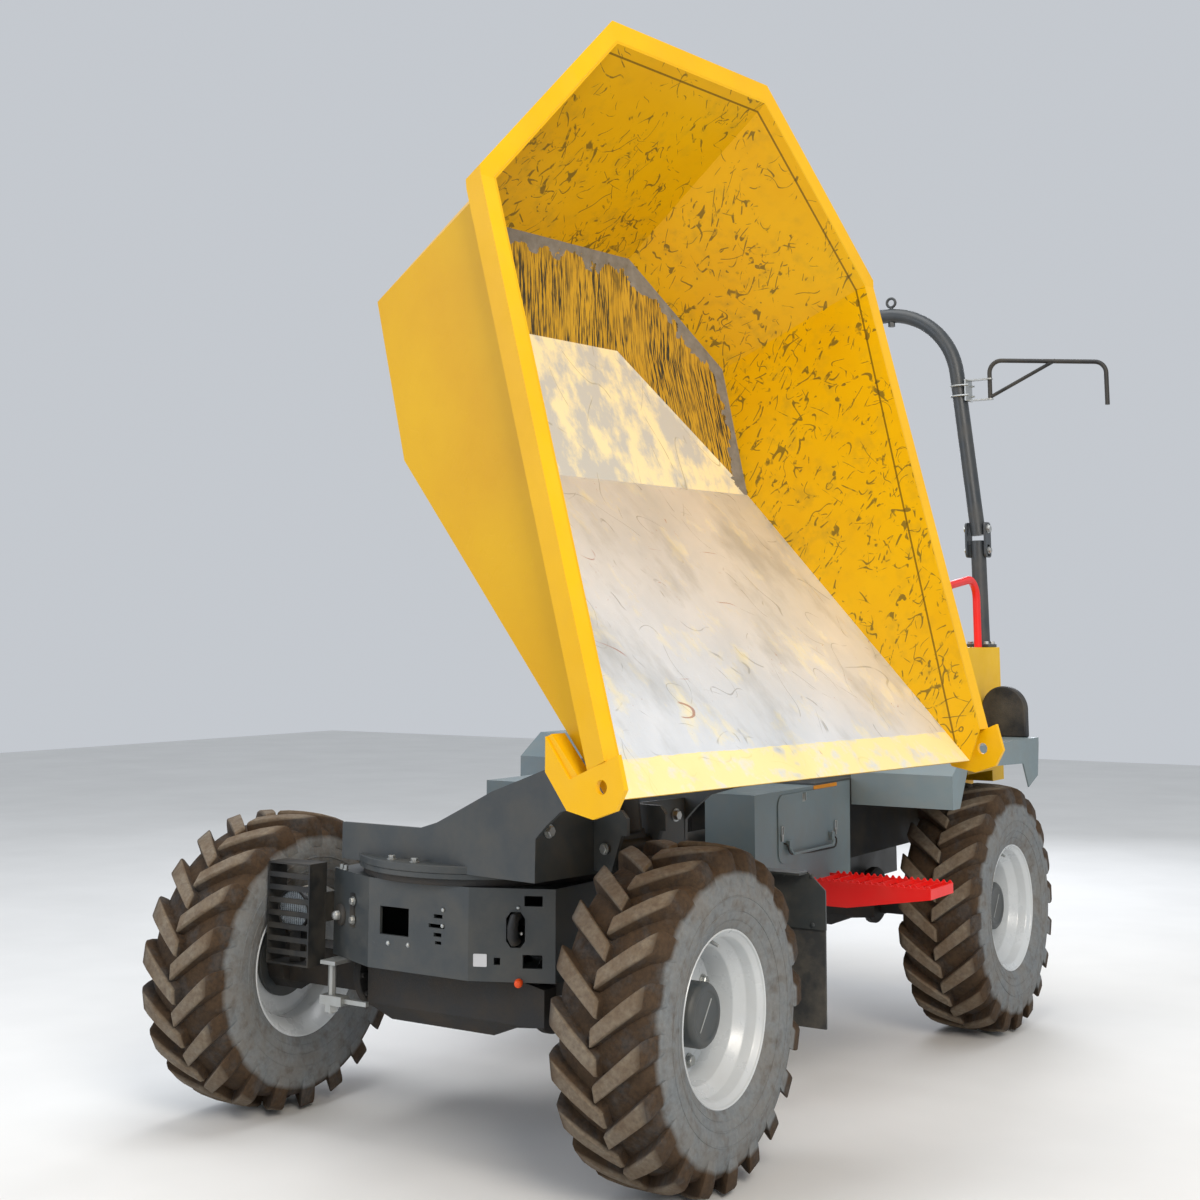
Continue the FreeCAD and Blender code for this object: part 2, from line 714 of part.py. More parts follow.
def tip_cylinder(shape):
    """A piece of the tipping cylinder, laid from base pin to eye."""
    base, eye = ram_ends()
    way = eye - base
    turned = shape.copy()
    lean = math.degrees(math.atan2(way.z, way.x))
    turned.Placement = Placement(base, Rotation(Vector(0, 1, 0), -lean).multiply(
        Rotation(Vector(1, 0, 0), 90)))
    return in_console(turned)


def tip_barrels():
    return tip_cylinder(barrel_shape(ram_barrel_radius, ram_rod_radius, ram_barrel_length, 26.0,
                                     ram_pin_radius, ram_ear_half - ram_lug - 2))


def tip_rods():
    base, eye = ram_ends()
    reach = (eye - base).Length
    return tip_cylinder(rod_shape(reach, reach - ram_barrel_length + ram_overlap, ram_rod_radius, 28.0,
                                  ram_barrel_radius + 3))


def steer_cylinder(shape):
    turned = shape.copy()
    turned.Placement = Placement(Vector(steer_x, steer_base_y, steer_z), Rotation(Vector(0, 0, 1), -90))
    return turned


def steer_barrel():
    return steer_cylinder(barrel_shape(steer_barrel_radius, steer_rod_radius, steer_barrel_length, 24.0,
                                       12.5, 24.0))


def steer_rod():
    reach = steer_base_y - steer_eye_y
    return steer_cylinder(rod_shape(reach, reach - steer_barrel_length + 110, steer_rod_radius, 22.0, 24.0))


def rear_frame():
    """Two rails with cross members, the fork and pin of the centre pivot and the steering cylinder's seat."""
    rail = box(rail_inner, rail_outer, rail_front_y, tail_y, rail_bottom, rail_top)
    cross_front = box(-rail_outer, rail_outer, rail_front_y, rail_front_y + 80, rail_bottom, knuckle_top + 32)
    cross_rear = box(-rail_outer, rail_outer, tail_y - 60, tail_y, rail_bottom, rail_top)
    pieces = [rail, mirrored(rail), cross_front, cross_rear]
    half = knuckle_radius + 25
    for z in (knuckle_bottom - moving_gap - fork_plate, knuckle_top + moving_gap):
        tongue = box(-half, half, pivot_y, rail_front_y + 10, z, z + fork_plate)
        tip = flat_round(half, Vector(0, pivot_y, z), Vector(0, pivot_y, z + fork_plate), wheel_sides)
        pieces += [tongue, tip]
    pin_low = knuckle_bottom - moving_gap - fork_plate - 6
    pin_high = knuckle_top + moving_gap + fork_plate + 6
    pieces.append(flat_round(pivot_pin_radius, Vector(0, pivot_y, pin_low), Vector(0, pivot_y, pin_high),
                             wheel_sides))
    seat_y = steer_base_y
    low, high = steer_z - 24 - moving_gap - 10, steer_z + 24 + moving_gap
    lug = [(steer_x - 60, seat_y - 30), (steer_x + 30, seat_y - 30), (steer_x + 30, seat_y + 50),
           (steer_x - 60, seat_y + 50)]
    pieces.append(prism(lug, "z", low, low + 10))
    pieces.append(prism(lug, "z", high, high + 10))
    pieces.append(box(steer_x - 60, steer_x + 30, seat_y + 50, seat_y + 62, rail_top - 130, high + 10))
    pieces.append(box(-rail_outer, rail_outer, seat_y + 50, seat_y + 110, rail_bottom, rail_top))
    pieces.append(flat_round(12.5, Vector(steer_x, seat_y, low - 4), Vector(steer_x, seat_y, high + 14),
                             hub_sides))
    return fused(pieces)


def engine_block():
    half = rail_inner + 30
    return box(-half, half, 1640, 2240, rail_top + seat_gap, 1020)


def side_box():
    """The body's left side box with the lid's opening in its outer wall."""
    outer = prism([(box_front_y, box_bottom), (box_rear_y - 10, box_bottom), (box_rear_y, deck_level),
                   (box_front_y, deck_level)], "x", box_inner, box_outer)
    inner = prism([(box_front_y + sheet, box_bottom + sheet), (box_rear_y - 10 - sheet, box_bottom + sheet),
                   (box_rear_y - sheet, deck_level - sheet), (box_front_y + sheet, deck_level - sheet)],
                  "x", box_inner + sheet, box_outer - sheet)
    shell = outer.cut(inner)
    return shell.cut(box(box_outer - sheet - 1, box_outer + 1, 915, 1305, 672, 858))


def side_boxes():
    """Both side boxes and the brackets that hang them on the rails."""
    left = side_box()
    blank = box(box_outer - sheet, box_outer, 905, 1315, 662, 868)
    right = mirrored(left.fuse(blank).removeSplitter())
    arms = []
    for y in (1110.0, 1370.0):
        arm = box(rail_outer + seat_gap, box_inner + sheet, y, y + 40, 575, 598)
        arms += [arm, mirrored(arm)]
    return fused([left, right] + arms)


def side_lid():
    """The lid in the left side box, hinged along its top edge, with a wire handle."""
    x = box_outer + seat_gap
    panel = box(x, x + 4, 905, 1315, 664, 868)
    edges = [e for e in panel.Edges if abs(e.Vertexes[0].X - e.Vertexes[1].X) > 1]
    panel = panel.makeFillet(35, edges)
    wire = bent_tube([Vector(x + 14, 960, 716), Vector(x + 22, 960, 690), Vector(x + 22, 1260, 690),
                      Vector(x + 14, 1260, 716)], 12, 4, 6, 1)
    latches = [box(x + 3, x + 18, y - 9, y + 9, 704, 730) for y in (960.0, 1260.0)]
    return fused([panel, wire] + latches)


def operator_deck():
    """The floor plate over the side boxes and the upright wall under the seat."""
    half = box_outer - seat_gap
    floor = box(-half, half, 1170, 1620, deck_level + seat_gap, deck_level + 6)
    wall = box(-half, half, 1610, 1620, deck_level + 6, 1150)
    top = box(-half, half, 1610, casing_front_y - 2, 1144, 1150)
    side = box(half - sheet, half, 1610, casing_front_y - 2, deck_level + seat_gap, 1150)
    return fused([floor, wall, top, side, mirrored(side)])


def fender():
    """The left rear fender: a front panel, a top beside seat and pillar, and a skirt round the arch."""
    front, rear, top = fender_front_y, fender_rear_y, fender_top
    slope = [(front, 905), (front + 30, 925), (front + 130, top)]
    # Along the machine and up, round the arch and back along the top
    skirt = prism([(front, 800), (front + 60, 800), (front + 140, 922), (2115, 905), (2165, 820), (2265, 855),
                   (rear - 45, 965), (rear - 45, top)] + slope[::-1],
                  "x", fender_outer - sheet, fender_outer)
    pieces = [skirt, box(fender_inner, fender_outer, front, front + sheet, 800, 906)]
    # Beside the rear pillar the top is narrower: inner edge, low y, high y
    for inner, low, high in [(fender_inner, front, casing_front_y - seat_gap),
                             (casing_outer + seat_gap, casing_front_y - 1, rear - 45)]:
        line = [(y, z) for y, z in slope if y >= low] + [(max(low, front + 130), top), (high, top)]
        under = [(y + 3, z - sheet) for y, z in line[:-1]] + [(high, top - sheet)]
        pieces.append(prism(line + under[::-1], "x", inner, fender_outer))
    pieces.append(prism([(front, 800), (front + 60, 800), (front + 160, 905),
                         (casing_front_y - seat_gap, 905),
                         (casing_front_y - seat_gap, top)] + slope[::-1],
                        "x", fender_inner, fender_inner + sheet))
    pieces.append(box(casing_outer + seat_gap, casing_outer + seat_gap + sheet, casing_front_y - 1, rear - 45,
                      905, top))
    return fused(pieces)


def step():
    """The left boarding step: a grating in a tapered frame that stands out from the side box."""
    y0, y1 = 1090.0, 1270.0
    x0, x1 = box_outer - 170, 915.0
    z = 600.0
    frame_line = [(x0, z - 75), (640, z - 75), (x1, z - 30), (x1, z), (x0, z)]
    front = prism(frame_line, "y", y0, y0 + 5)
    back = prism(frame_line, "y", y1 - 5, y1)
    end = box(x1 - 5, x1, y0, y1, z - 30, z)
    bars = [box(x, x + 5, y0, y1, z - 12, z) for x in (530, 580, 630, 680, 730, 780, 830, 880)]
    runner = box(box_inner - 60, x1 - 5, y0 + 85, y0 + 95, z - 32, z - 12)
    return fused([front, back, end, runner] + bars).common(box(box_outer + seat_gap, x1, y0, y1, 0, z))


def seat_base():
    return box(-150, 150, 1700, 2020, 1150 + seat_gap, 1200)


def seat_pads():
    cushion = box(-235, 235, 1640, 2030, 1200 + seat_gap, 1290)
    back = prism([(1950, 1290 + seat_gap), (2025, 1290 + seat_gap), (2040, 1700), (1980, 1700)],
                 "x", -225, 225)
    return group([cushion, back])


def dash():
    """The operator's front stand: a narrow pillar, its instrument head and the steering column."""
    pillar = prism([(1340, 886.3), (1440, 886.3), (1430, 1300), (1360, 1300)], "x", -90, 90)
    head = prism([(1330, 1290), (1470, 1290), (1450, 1360), (1340, 1390)], "x", -170, 170)
    column = rod(22, Vector(0, 1420, 1340), Vector(0, 1500, 1440))
    return fused([pillar, head, column])


def steering_wheel():
    way = Vector(0, 80, 100).normalize()
    top = Vector(0, 1500, 1440)
    rim_radius, grip = 175.0, 13.0
    section = [(grip * math.cos(math.pi * k / 3), rim_radius + grip * math.sin(math.pi * k / 3))
               for k in range(6)]
    ring = upright(ring_of_flats(section, wheel_sides))
    middle = flat_round(36, Vector(0, 0, seat_gap - 22), Vector(0, 0, 8), pipe_sides)
    spokes = [box(-rim_radius, rim_radius, -10, 10, -6, 6), box(-10, 10, 0, rim_radius, -6, 6)]
    whole = fused([ring, middle] + spokes)
    whole.Placement = Placement(top + way * 22, Rotation(Vector(0, 0, 1), way)).multiply(whole.Placement)
    return whole


def hood_pin_ends():
    """The ends of the left pin that the hood turns on, from the hood's inside to the pillar's."""
    y, z = casing_front_y + hood_hinge_inset, casing_top - hood_hinge_inset
    return Vector(casing_inner - 18, y, z), Vector(casing_inner + 3, y, z)


def casing():
    """The yellow pillars at both rear corners that carry the roll-over hoop, on the tail's cross box."""
    left = prism([(casing_front_y, casing_bottom), (casing_rear_y, casing_bottom),
                  (casing_rear_y, casing_top),
                  (casing_front_y, casing_top)], "x", casing_inner, casing_outer)
    room = box(casing_inner + 6, casing_outer - 6, casing_front_y + 6, casing_rear_y - 6, casing_bottom - 1,
               casing_top - 6)
    left = left.cut(room)
    inside = tyre_inner - 2 * moving_gap
    tail = box(-inside, inside, tail_y + seat_gap, casing_rear_y, tail_bottom, casing_bottom)
    shoulder = box(-casing_outer, casing_outer, tail_y + seat_gap, casing_rear_y, casing_bottom - 40,
                   casing_bottom + 6)
    start, end = hood_pin_ends()
    pin = flat_round(hood_pin_radius, start, end, pipe_sides)
    return fused([left, mirrored(left), tail, shoulder, pin, mirrored(pin)])


def hood():
    """The engine hood between the rear pillars, open below and in front."""
    x = casing_inner - moving_gap
    floor = casing_bottom + 6 + moving_gap
    outer = box(-x, x, casing_front_y + 4, casing_rear_y, floor, casing_top)
    inner = box(-x + 5, x - 5, casing_front_y - 1, casing_rear_y - 5, floor - 5, casing_top - 5)
    start, end = hood_pin_ends()
    bore = rod(hood_pin_radius + pin_clearance, start, end)
    return outer.cut(inner).cut(bore).cut(mirrored(bore))


def hood_grille():
    """The slatted air inlet in the hood's rear wall."""
    y = casing_rear_y + seat_gap
    low, high, half = 930.0, 1220.0, 300.0
    pieces = [box(-half, 10 - half, y, y + 12, low, high), box(half - 10, half, y, y + 12, low, high)]
    count = 8
    for k in range(count):
        z = low + k * (high - low - 10) / (count - 1)
        pieces.append(box(-half, half, y, y + 12, z, z + 10))
    return fused(pieces)


def rear_lamp():
    """The round-topped lamp housing that stands on the left rear fender."""
    base = fender_top + seat_gap
    y = 2237.0
    return fused([box(casing_outer + seat_gap, 825, y, y + 40, base, base + 100),
                  flat_round(82, Vector(743, y, base + 100), Vector(743, y + 40, base + 100), wheel_sides)])


def handrail():
    """The red rail to the left of the seat."""
    foot_y = casing_rear_y - 120
    return bent_tube([Vector(620, foot_y, casing_top + seat_gap), Vector(620, foot_y, 1570),
                      Vector(620, 1800, 1500), Vector(700, 1640, 1350),
                      Vector(700, 1640, fender_top + seat_gap)], 70, 14, 8, 2)


def rops_post():
    """The hoop's lower left leg with its foot plate and fold bracket."""
    leg = flat_round(rops_tube_radius, Vector(rops_base_half, rops_y, casing_top + 10),
                     Vector(rops_joint_half, rops_y, rops_joint_z - 45), hub_sides)
    foot = box(rops_base_half - 45, rops_base_half + 45, rops_y - 60, rops_y + 28, casing_top + seat_gap,
               casing_top + 12)
    ears = []
    for x in (rops_joint_half - rops_tube_radius - 13, rops_joint_half + rops_tube_radius + 5):
        ears.append(prism([(rops_y - 30, rops_joint_z - 110), (rops_y + 30, rops_joint_z - 110),
                           (rops_y + 30, rops_joint_z + 25), (rops_y - 30, rops_joint_z + 25)],
                          "x", x, x + 8))
    links = box(rops_joint_half - rops_tube_radius - 13, rops_joint_half + rops_tube_radius + 13,
                rops_y - 12, rops_y + 12, rops_joint_z - 105, rops_joint_z - 60)
    pin = flat_round(8, Vector(rops_joint_half - 50, rops_y, rops_joint_z),
                     Vector(rops_joint_half + 50, rops_y, rops_joint_z), pipe_sides)
    return fused([leg, foot, links, pin] + ears)


def hoop_tube(radius):
    foot_z = rops_joint_z - 24
    top_z = rops_top_z - rops_tube_radius
    foot_half = rops_joint_half + rops_lean * 24
    top_half = rops_joint_half - rops_lean * (top_z - rops_joint_z)
    corners = [(foot_half, foot_z), (top_half, top_z), (-top_half, top_z), (-foot_half, foot_z)]
    return bent_tube([Vector(x, rops_y, z) for x, z in corners], rops_bend, radius, hub_sides, 6)


def rops_hoop():
    """The hoop's folding upper part with a lifting eye on each shoulder."""
    hoop = hoop_tube(rops_tube_radius)
    bore = rod(8 + pin_clearance, Vector(-1000, rops_y, rops_joint_z), Vector(1000, rops_y, rops_joint_z))
    eye = flat_ring(23, 13, -6, 6, hub_sides)
    eye.rotate(Vector(0, 0, 0), Vector(1, 0, 0), 90)
    eye.translate(Vector(267, rops_y, rops_top_z + 24))
    shank = flat_round(8, Vector(267, rops_y, rops_top_z - 40), Vector(267, rops_y, rops_top_z + 4),
                       pipe_sides)
    nut = flat_round(15, Vector(267, rops_y, rops_top_z - 74), Vector(267, rops_y, rops_top_z - 30), 6)
    one = fused([eye, shank, nut])
    return fused([hoop.cut(bore), one, mirrored(one)])


def mirror():
    """The left mirror's bow with its strut and its hinge on the hoop."""
    inner = rops_joint_half - rops_lean * (2300 - rops_joint_z)
    hinge_x = inner + 125
    bow = bent_tube([Vector(hinge_x, rops_y, 2262), Vector(hinge_x, rops_y, 2412), Vector(1120, rops_y, 2366),
                     Vector(1120, rops_y, 2205)], 45, 8, 6, 3)
    strut = bent_tube([Vector(hinge_x, rops_y, 2268), Vector(930, rops_y, 2389)], 1, 7, 6, 1)
    clamp = box(inner - 34, inner + 38, rops_y - 34, rops_y + 34, 2258, 2342)
    arms = [box(inner + 30, hinge_x + 10, rops_y - 14, rops_y + 14, z, z + 5) for z in (2258, 2337)]
    return fused([clamp, bow, strut] + arms).cut(hoop_tube(rops_tube_radius + seat_gap))


def tail_hitch():
    """The towing jaw under the tail."""
    y0 = tail_y + seat_gap
    jaw = [box(-50, 50, y0, y0 + 130, z, z + 20) for z in (500, 570)]
    back = box(-60, 60, y0, y0 + 20, 480, 610)
    whole = fused(jaw + [back])
    return whole.cut(rod(16, Vector(0, y0 + 85, 400), Vector(0, y0 + 85, 700)))


def all_pieces():
    """Every piece by its name."""
    pieces = {}
    one_tyre, one_rim, one_hub = tyre(), rim(), hub()
    # Name, side of the machine and place along it
    wheels = [("front_left", 1, 0.0), ("front_right", -1, 0.0), ("rear_left", 1, wheelbase),
              ("rear_right", -1, wheelbase)]
    for name, side, y in wheels:
        place = Vector(side * track / 2, y, axle_height)
        pieces["tyre_" + name] = one_tyre.translated(place)
        for kind, shape in (("rim_", one_rim), ("hub_", one_hub)):
            turned = shape.copy()
            if side < 0:
                turned.rotate(Vector(0, 0, 0), Vector(0, 0, 1), 180)
            pieces[kind + name] = turned.translated(place)
    pieces["front_axle"] = axle(0.0)
    pieces["rear_axle"] = axle(wheelbase)
    # Pieces that are there once on each side
    for name, make in (("mudguards", mudguard), ("mud_flaps", mud_flap), ("fenders", fender),
                       ("steps", step), ("rear_lamps", rear_lamp), ("handrails", handrail),
                       ("rops_posts", rops_post), ("mirrors", mirror)):
        one = make()
        pieces[name] = group([one, mirrored(one)])
    # The one headlamp and its guard
    pieces["lamp_guards"] = lamp_guard()
    pieces["headlamps"] = head_lamp()
    for make in (front_frame, slew_ring, tow_pin, console_base, console_cheeks, ram_ears, skip_shell,
                 skip_rim, skip_ears, skip_brackets, tip_barrels, tip_rods, steer_barrel, steer_rod,
                 rear_frame, engine_block, side_boxes, side_lid, operator_deck, seat_base, seat_pads,
                 dash, steering_wheel, casing, hood, hood_grille, rops_hoop, tail_hitch):
        pieces[make.__name__] = make()
    return pieces


def main():
    os.makedirs("parts", exist_ok=True)
    pieces = all_pieces()
    whole = FreeCAD.BoundBox()
    for shape in pieces.values():
        whole.add(shape.BoundBox)
    to_middle = Vector(-whole.Center.x, -whole.Center.y, 0)
    print("front axle at x", round(to_middle.x, 3), "y", round(to_middle.y, 3), "size", whole.XLength,
          whole.YLength, whole.ZMax)
    for name, shape in pieces.items():
        shape.translated(to_middle).exportStep("parts/" + name + ".step")


main()
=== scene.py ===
from functools import partial
import math
import bpy
import numpy as np
from mathutils import Matrix, Vector


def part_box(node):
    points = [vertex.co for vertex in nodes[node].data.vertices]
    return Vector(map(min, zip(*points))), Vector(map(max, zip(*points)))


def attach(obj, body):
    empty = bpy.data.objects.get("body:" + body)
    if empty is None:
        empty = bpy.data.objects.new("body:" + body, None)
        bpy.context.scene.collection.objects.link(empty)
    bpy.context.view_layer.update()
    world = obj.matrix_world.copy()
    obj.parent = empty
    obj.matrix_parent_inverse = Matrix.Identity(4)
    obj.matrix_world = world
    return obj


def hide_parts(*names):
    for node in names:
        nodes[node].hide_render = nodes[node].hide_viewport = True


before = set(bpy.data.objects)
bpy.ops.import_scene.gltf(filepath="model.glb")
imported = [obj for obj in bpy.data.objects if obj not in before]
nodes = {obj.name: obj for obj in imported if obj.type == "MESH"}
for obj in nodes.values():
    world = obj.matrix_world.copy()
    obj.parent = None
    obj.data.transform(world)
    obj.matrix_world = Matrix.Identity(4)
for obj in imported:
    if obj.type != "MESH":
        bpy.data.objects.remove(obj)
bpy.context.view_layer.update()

# Places below are in metres from the ground under the middle of the front axle, as in the part's source
frontLeft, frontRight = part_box("tyre_front_left"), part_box("tyre_front_right")
axleX = (frontRight[0].x + frontLeft[1].x) / 2
axleY = (frontLeft[0].y + frontLeft[1].y) / 2
shift = np.array([axleX, axleY, 0.0])


def place(points):
    return np.asarray(points, float) + shift


# The same for parts, each (points, faces)
def placed(*parts):
    return [(place(points), faces) for points, faces in parts]


# Camera: solved from the wheels and the straight edges of the photograph
cameraPlan = {"place": (2.919, -3.767, 1.350), "right": (0.8361, 0.5486, 0.0),
    "ahead": (-0.5486, 0.8361, 0.0), "tilt": 8.4, "lens": 50.1, "shiftY": -0.175}
cameraData = bpy.data.cameras.new("photoCamera")
camera = bpy.data.objects.new("photoCamera", cameraData)
bpy.context.scene.collection.objects.link(camera)
right, ahead = Vector(cameraPlan["right"]), Vector(cameraPlan["ahead"])
tilt = math.radians(cameraPlan["tilt"])
look = ahead * math.cos(tilt) + Vector((0, 0, 1)) * math.sin(tilt)
overhead = right.cross(look).normalized()
camera.matrix_world = Matrix.Translation(place(cameraPlan["place"])) @ Matrix((right.normalized(),
    overhead, -look)).transposed().to_4x4()
cameraData.lens = cameraPlan["lens"]
cameraData.sensor_width = 36
cameraData.shift_y = cameraPlan["shiftY"]
bpy.context.scene.camera = camera
print("camera set")


# Colours and nodes

# sRGB hex to linear: ((c + 0.055) / 1.055) ** 2.4 above 0.04045, c / 12.92 below
def colour(hexCode, strength=1.0):
    parts = [int(hexCode[i:i + 2], 16) / 255 for i in (1, 3, 5)]
    linear = [((c + 0.055) / 1.055) ** 2.4 if c > 0.04045 else c / 12.92 for c in parts]
    return tuple(c * strength for c in linear) + (1.0,)


# Each input, by name or number, gets a value or another node's output
def feed(tree, node, links):
    for key, value in links.items():
        if isinstance(value, bpy.types.NodeSocket):
            tree.links.new(value, node.inputs[key])
        else:
            node.inputs[key].default_value = value


# Adds a node: links maps an input's name or number to a value or another node's output
def add(tree, kind, links=None, **settings):
    node = tree.nodes.new("ShaderNode" + kind)
    for name, value in settings.items():
        setattr(node, name, value)
    feed(tree, node, links or {})
    return node


def newMaterial(name):
    material = bpy.data.materials.new(name)
    material.use_nodes = True
    tree = material.node_tree
    tree.nodes.clear()
    output = add(tree, "OutputMaterial")
    shader = add(tree, "BsdfPrincipled")
    feed(tree, output, {0: shader.outputs[0]})
    return material, tree, shader


# Joins the colour, the roughness and the relief to the shader; values are plain numbers on its sockets
def finish(tree, shader, base, roughness, height=None, bump=0.2, depth=0.001, **values):
    feed(tree, shader, {"Base Color": base, "Roughness": roughness})
    if height is not None:
        relief = add(tree, "Bump", {"Height": height, "Strength": bump, "Distance": depth})
        feed(tree, shader, {"Normal": relief.outputs[0]})
    feed(tree, shader, {key.replace("_", " "): value for key, value in values.items()})


# Noise with blotches of a size in metres, cut between low and high. stretch above 1 narrows them along an axis,
# below 1 draws them out, and turn (degrees) leans those axes.
def blotches(tree, coords, size, low, high, detail=4.0, stretch=(1, 1, 1), distortion=0.0, turn=(0, 0, 0)):
    mapped = add(tree, "Mapping", {"Vector": coords, "Scale": [size / s for s in stretch],
        "Rotation": [math.radians(t) for t in turn]}, vector_type="TEXTURE")
    noise = add(tree, "TexNoise", {"Vector": mapped.outputs[0], "Scale": 1.0, "Detail": detail,
        "Roughness": 0.6, "Distortion": distortion})
    cut = add(tree, "MapRange", {"Value": noise.outputs[0], "From Min": low, "From Max": high})
    return cut.outputs[0]


# Scratches: the lines where a noise crosses its middle, |n - 0.5| < 0.2 width / size, cut into short pieces by a
# second noise above the given cut. Each turn in the list adds a layer drawn out in another direction.
def scratches(tree, coords, size, width, cut, turns, drawn=0.35):
    total = None
    for index, turn in enumerate(turns):
        moved = add(tree, "VectorMath", {0: coords, 1: (0.37 * index + 0.1, 0.21 * index, 0.53)},
            operation="ADD")
        value = blotches(tree, moved.outputs[0], size, 0.0, 1.0, 1.0, (drawn, 1, 1), 0.0, turn)
        line = lessThan(tree, magnitude(tree, minus(tree, value, 0.5)), 0.2 * width / size)
        piece = blotches(tree, moved.outputs[0], 0.8 * size, cut, cut + 0.05, 3.0)
        layer = times(tree, line, piece)
        total = layer if total is None else larger(tree, total, layer)
    return total


# Two colours, each a hex code or a node's output, mixed by a factor
def mixed(tree, factor, first, second):
    first, second = (colour(value) if isinstance(value, str) else value for value in (first, second))
    return add(tree, "Mix", {0: factor, 6: first, 7: second}, data_type="RGBA").outputs[2]


def maths(operation, tree, first, second=0.0, clamp=False):
    return add(tree, "Math", {0: first, 1: second}, operation=operation, use_clamp=clamp).outputs[0]


times, plus, minus, larger, smaller, lessThan, moreThan, magnitude, sign = (partial(maths,
    operation) for operation in ("MULTIPLY", "ADD", "SUBTRACT", "MAXIMUM", "MINIMUM", "LESS_THAN",
    "GREATER_THAN", "ABSOLUTE", "SIGN"))


# Sprayed paint on steel plate: even colour, faint orange peel, thin scratches and patches of dust
def paintedSteel(name, base, shade, scratch="#3a3833", dust="#9c8f78", dustAmount=0.25, roughness=0.42,
        scratchAmount=0.5, peel=0.15, gloss=0.5, metal=0.0):
    material, tree, shader = newMaterial(name)
    coords = add(tree, "TexCoord").outputs["Object"]
    tone = blotches(tree, coords, 0.35, 0.3, 0.7)  # broad fading, about 350 mm across
    fine = blotches(tree, coords, 0.004, 0.3, 0.7, 2.0)  # orange peel, 4 mm, coarser than real to show
    marks = blotches(tree, coords, 0.03, 0.69, 0.73, 6.0, (1, 1, 6), 1.5)  # scratches 30 mm long
    patches = blotches(tree, coords, 0.2, 0.45, 0.62)
    dusty = blotches(tree, coords, 0.09, 0.40, 0.75, 8.0)
    body = mixed(tree, tone, base, shade)
    body = mixed(tree, times(tree, dusty, dustAmount), body, dust)
    scratched = times(tree, times(tree, marks, patches), scratchAmount)
    body = mixed(tree, scratched, body, scratch)
    rough = plus(tree, times(tree, dusty, 0.22), roughness, True)
    finish(tree, shader, body, rough, fine, peel, 0.0006, Metallic=metal, Specular_IOR_Level=gloss)
    return material


machinePaint = paintedSteel("satinPaintAnthracite", "#3d4244", "#363b3d", scratch="#8a8c88",
    scratchAmount=0.30, dustAmount=0.12)
# Side boxes, lid and fenders: grey satin paint; its light blue tint is painted sunlight and a painted reflection
# of the sky
panelPaintPaintedSkyTint = paintedSteel("satinPaintGreyPaintedSkyTint", "#75858a", "#6a797e", scratch="#34383a",
    scratchAmount=0.3, dustAmount=0.18)
bodyPaint = paintedSteel("glossPaintYellow", "#ecbc02", "#e0ae02", roughness=0.33, dustAmount=0.05, gloss=0.2)
redPaint = paintedSteel("glossPaintRed", "#f01814", "#dc1410", roughness=0.35, dustAmount=0.05)
hoopPaint = paintedSteel("powderCoatSlate", "#353b40", "#2d3236", roughness=0.38, dustAmount=0.10,
    scratchAmount=0.2)
blackPaint = paintedSteel("powderCoatBlack", "#1d1f20", "#151617", roughness=0.5, dustAmount=0.12,
    scratchAmount=0.2)
castIron = paintedSteel("paintedCastIron", "#232322", "#1b1a19", dust="#5b4d3d", dustAmount=0.35,
    roughness=0.62, peel=0.6)
rimPaint = paintedSteel("silverRimEnamel", "#cdd1d3", "#bcc1c4", scratch="#77736c", dust="#a99b84",
    dustAmount=0.08, roughness=0.25, scratchAmount=0.25, gloss=0.7)
zincSteel = paintedSteel("zincPlatedSteel", "#b9bcbb", "#9ea19f", dust="#8d8271", dustAmount=0.25,
    roughness=0.3, scratchAmount=0.2, metal=0.75)
flapRubber = paintedSteel("mouldedRubber", "#37393a", "#2b2d2e", dust="#7c7568", dustAmount=0.55,
    roughness=0.8, scratchAmount=0.2)
blackPlastic = paintedSteel("mouldedPolypropylene", "#1b1c1e", "#141517", roughness=0.55, dustAmount=0.2,
    scratchAmount=0.1, peel=0.5)
# Engine block: cast aluminium given a dark grey that is painted shade, for the engine bay lying in shadow
engineMetalPaintedShade = paintedSteel("castAluminiumDarkPaintedShade", "#3a3b3c", "#2c2d2e", roughness=0.6, dustAmount=0.25, peel=0.6)
print("paints ready")


# Shapes

# Joins parts, each (points, faces), into a piece that rides on a body; smooth below the sharp angle
def meshPiece(name, parts, material, body, smooth=True, sharp=30):
    points, faces = join(parts)
    mesh = bpy.data.meshes.new(name)
    mesh.from_pydata(points.tolist(), [], faces)
    mesh.validate()
    mesh.materials.append(material)
    piece = bpy.data.objects.new(name, mesh)
    bpy.context.scene.collection.objects.link(piece)
    if smooth:
        mesh.shade_smooth()
        mesh.set_sharp_from_angle(angle=math.radians(sharp))
    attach(piece, body)
    return piece


# Quads between neighbouring points of a grid stored row by row
def gridFaces(rows, columns, wrapRows=False, wrapColumns=True, first=0):
    i, j = np.meshgrid(np.arange(rows if wrapRows else rows - 1), np.arange(columns if wrapColumns
        else columns - 1), indexing="ij")
    nextRow, nextColumn = (i + 1) % rows, (j + 1) % columns
    quads = np.stack([i * columns + j, nextRow * columns + j, nextRow * columns + nextColumn,
        i * columns + nextColumn], -1).reshape(-1, 4) + first
    return quads.tolist()


# Puts several (points, faces) together into one
def join(parts):
    points, faces, start = [], [], 0
    for partPoints, partFaces in parts:
        partPoints = np.asarray(partPoints, float).reshape(-1, 3)
        points.append(partPoints)
        faces += [[v + start for v in face] for face in partFaces]
        start += len(partPoints)
    return np.concatenate(points), faces


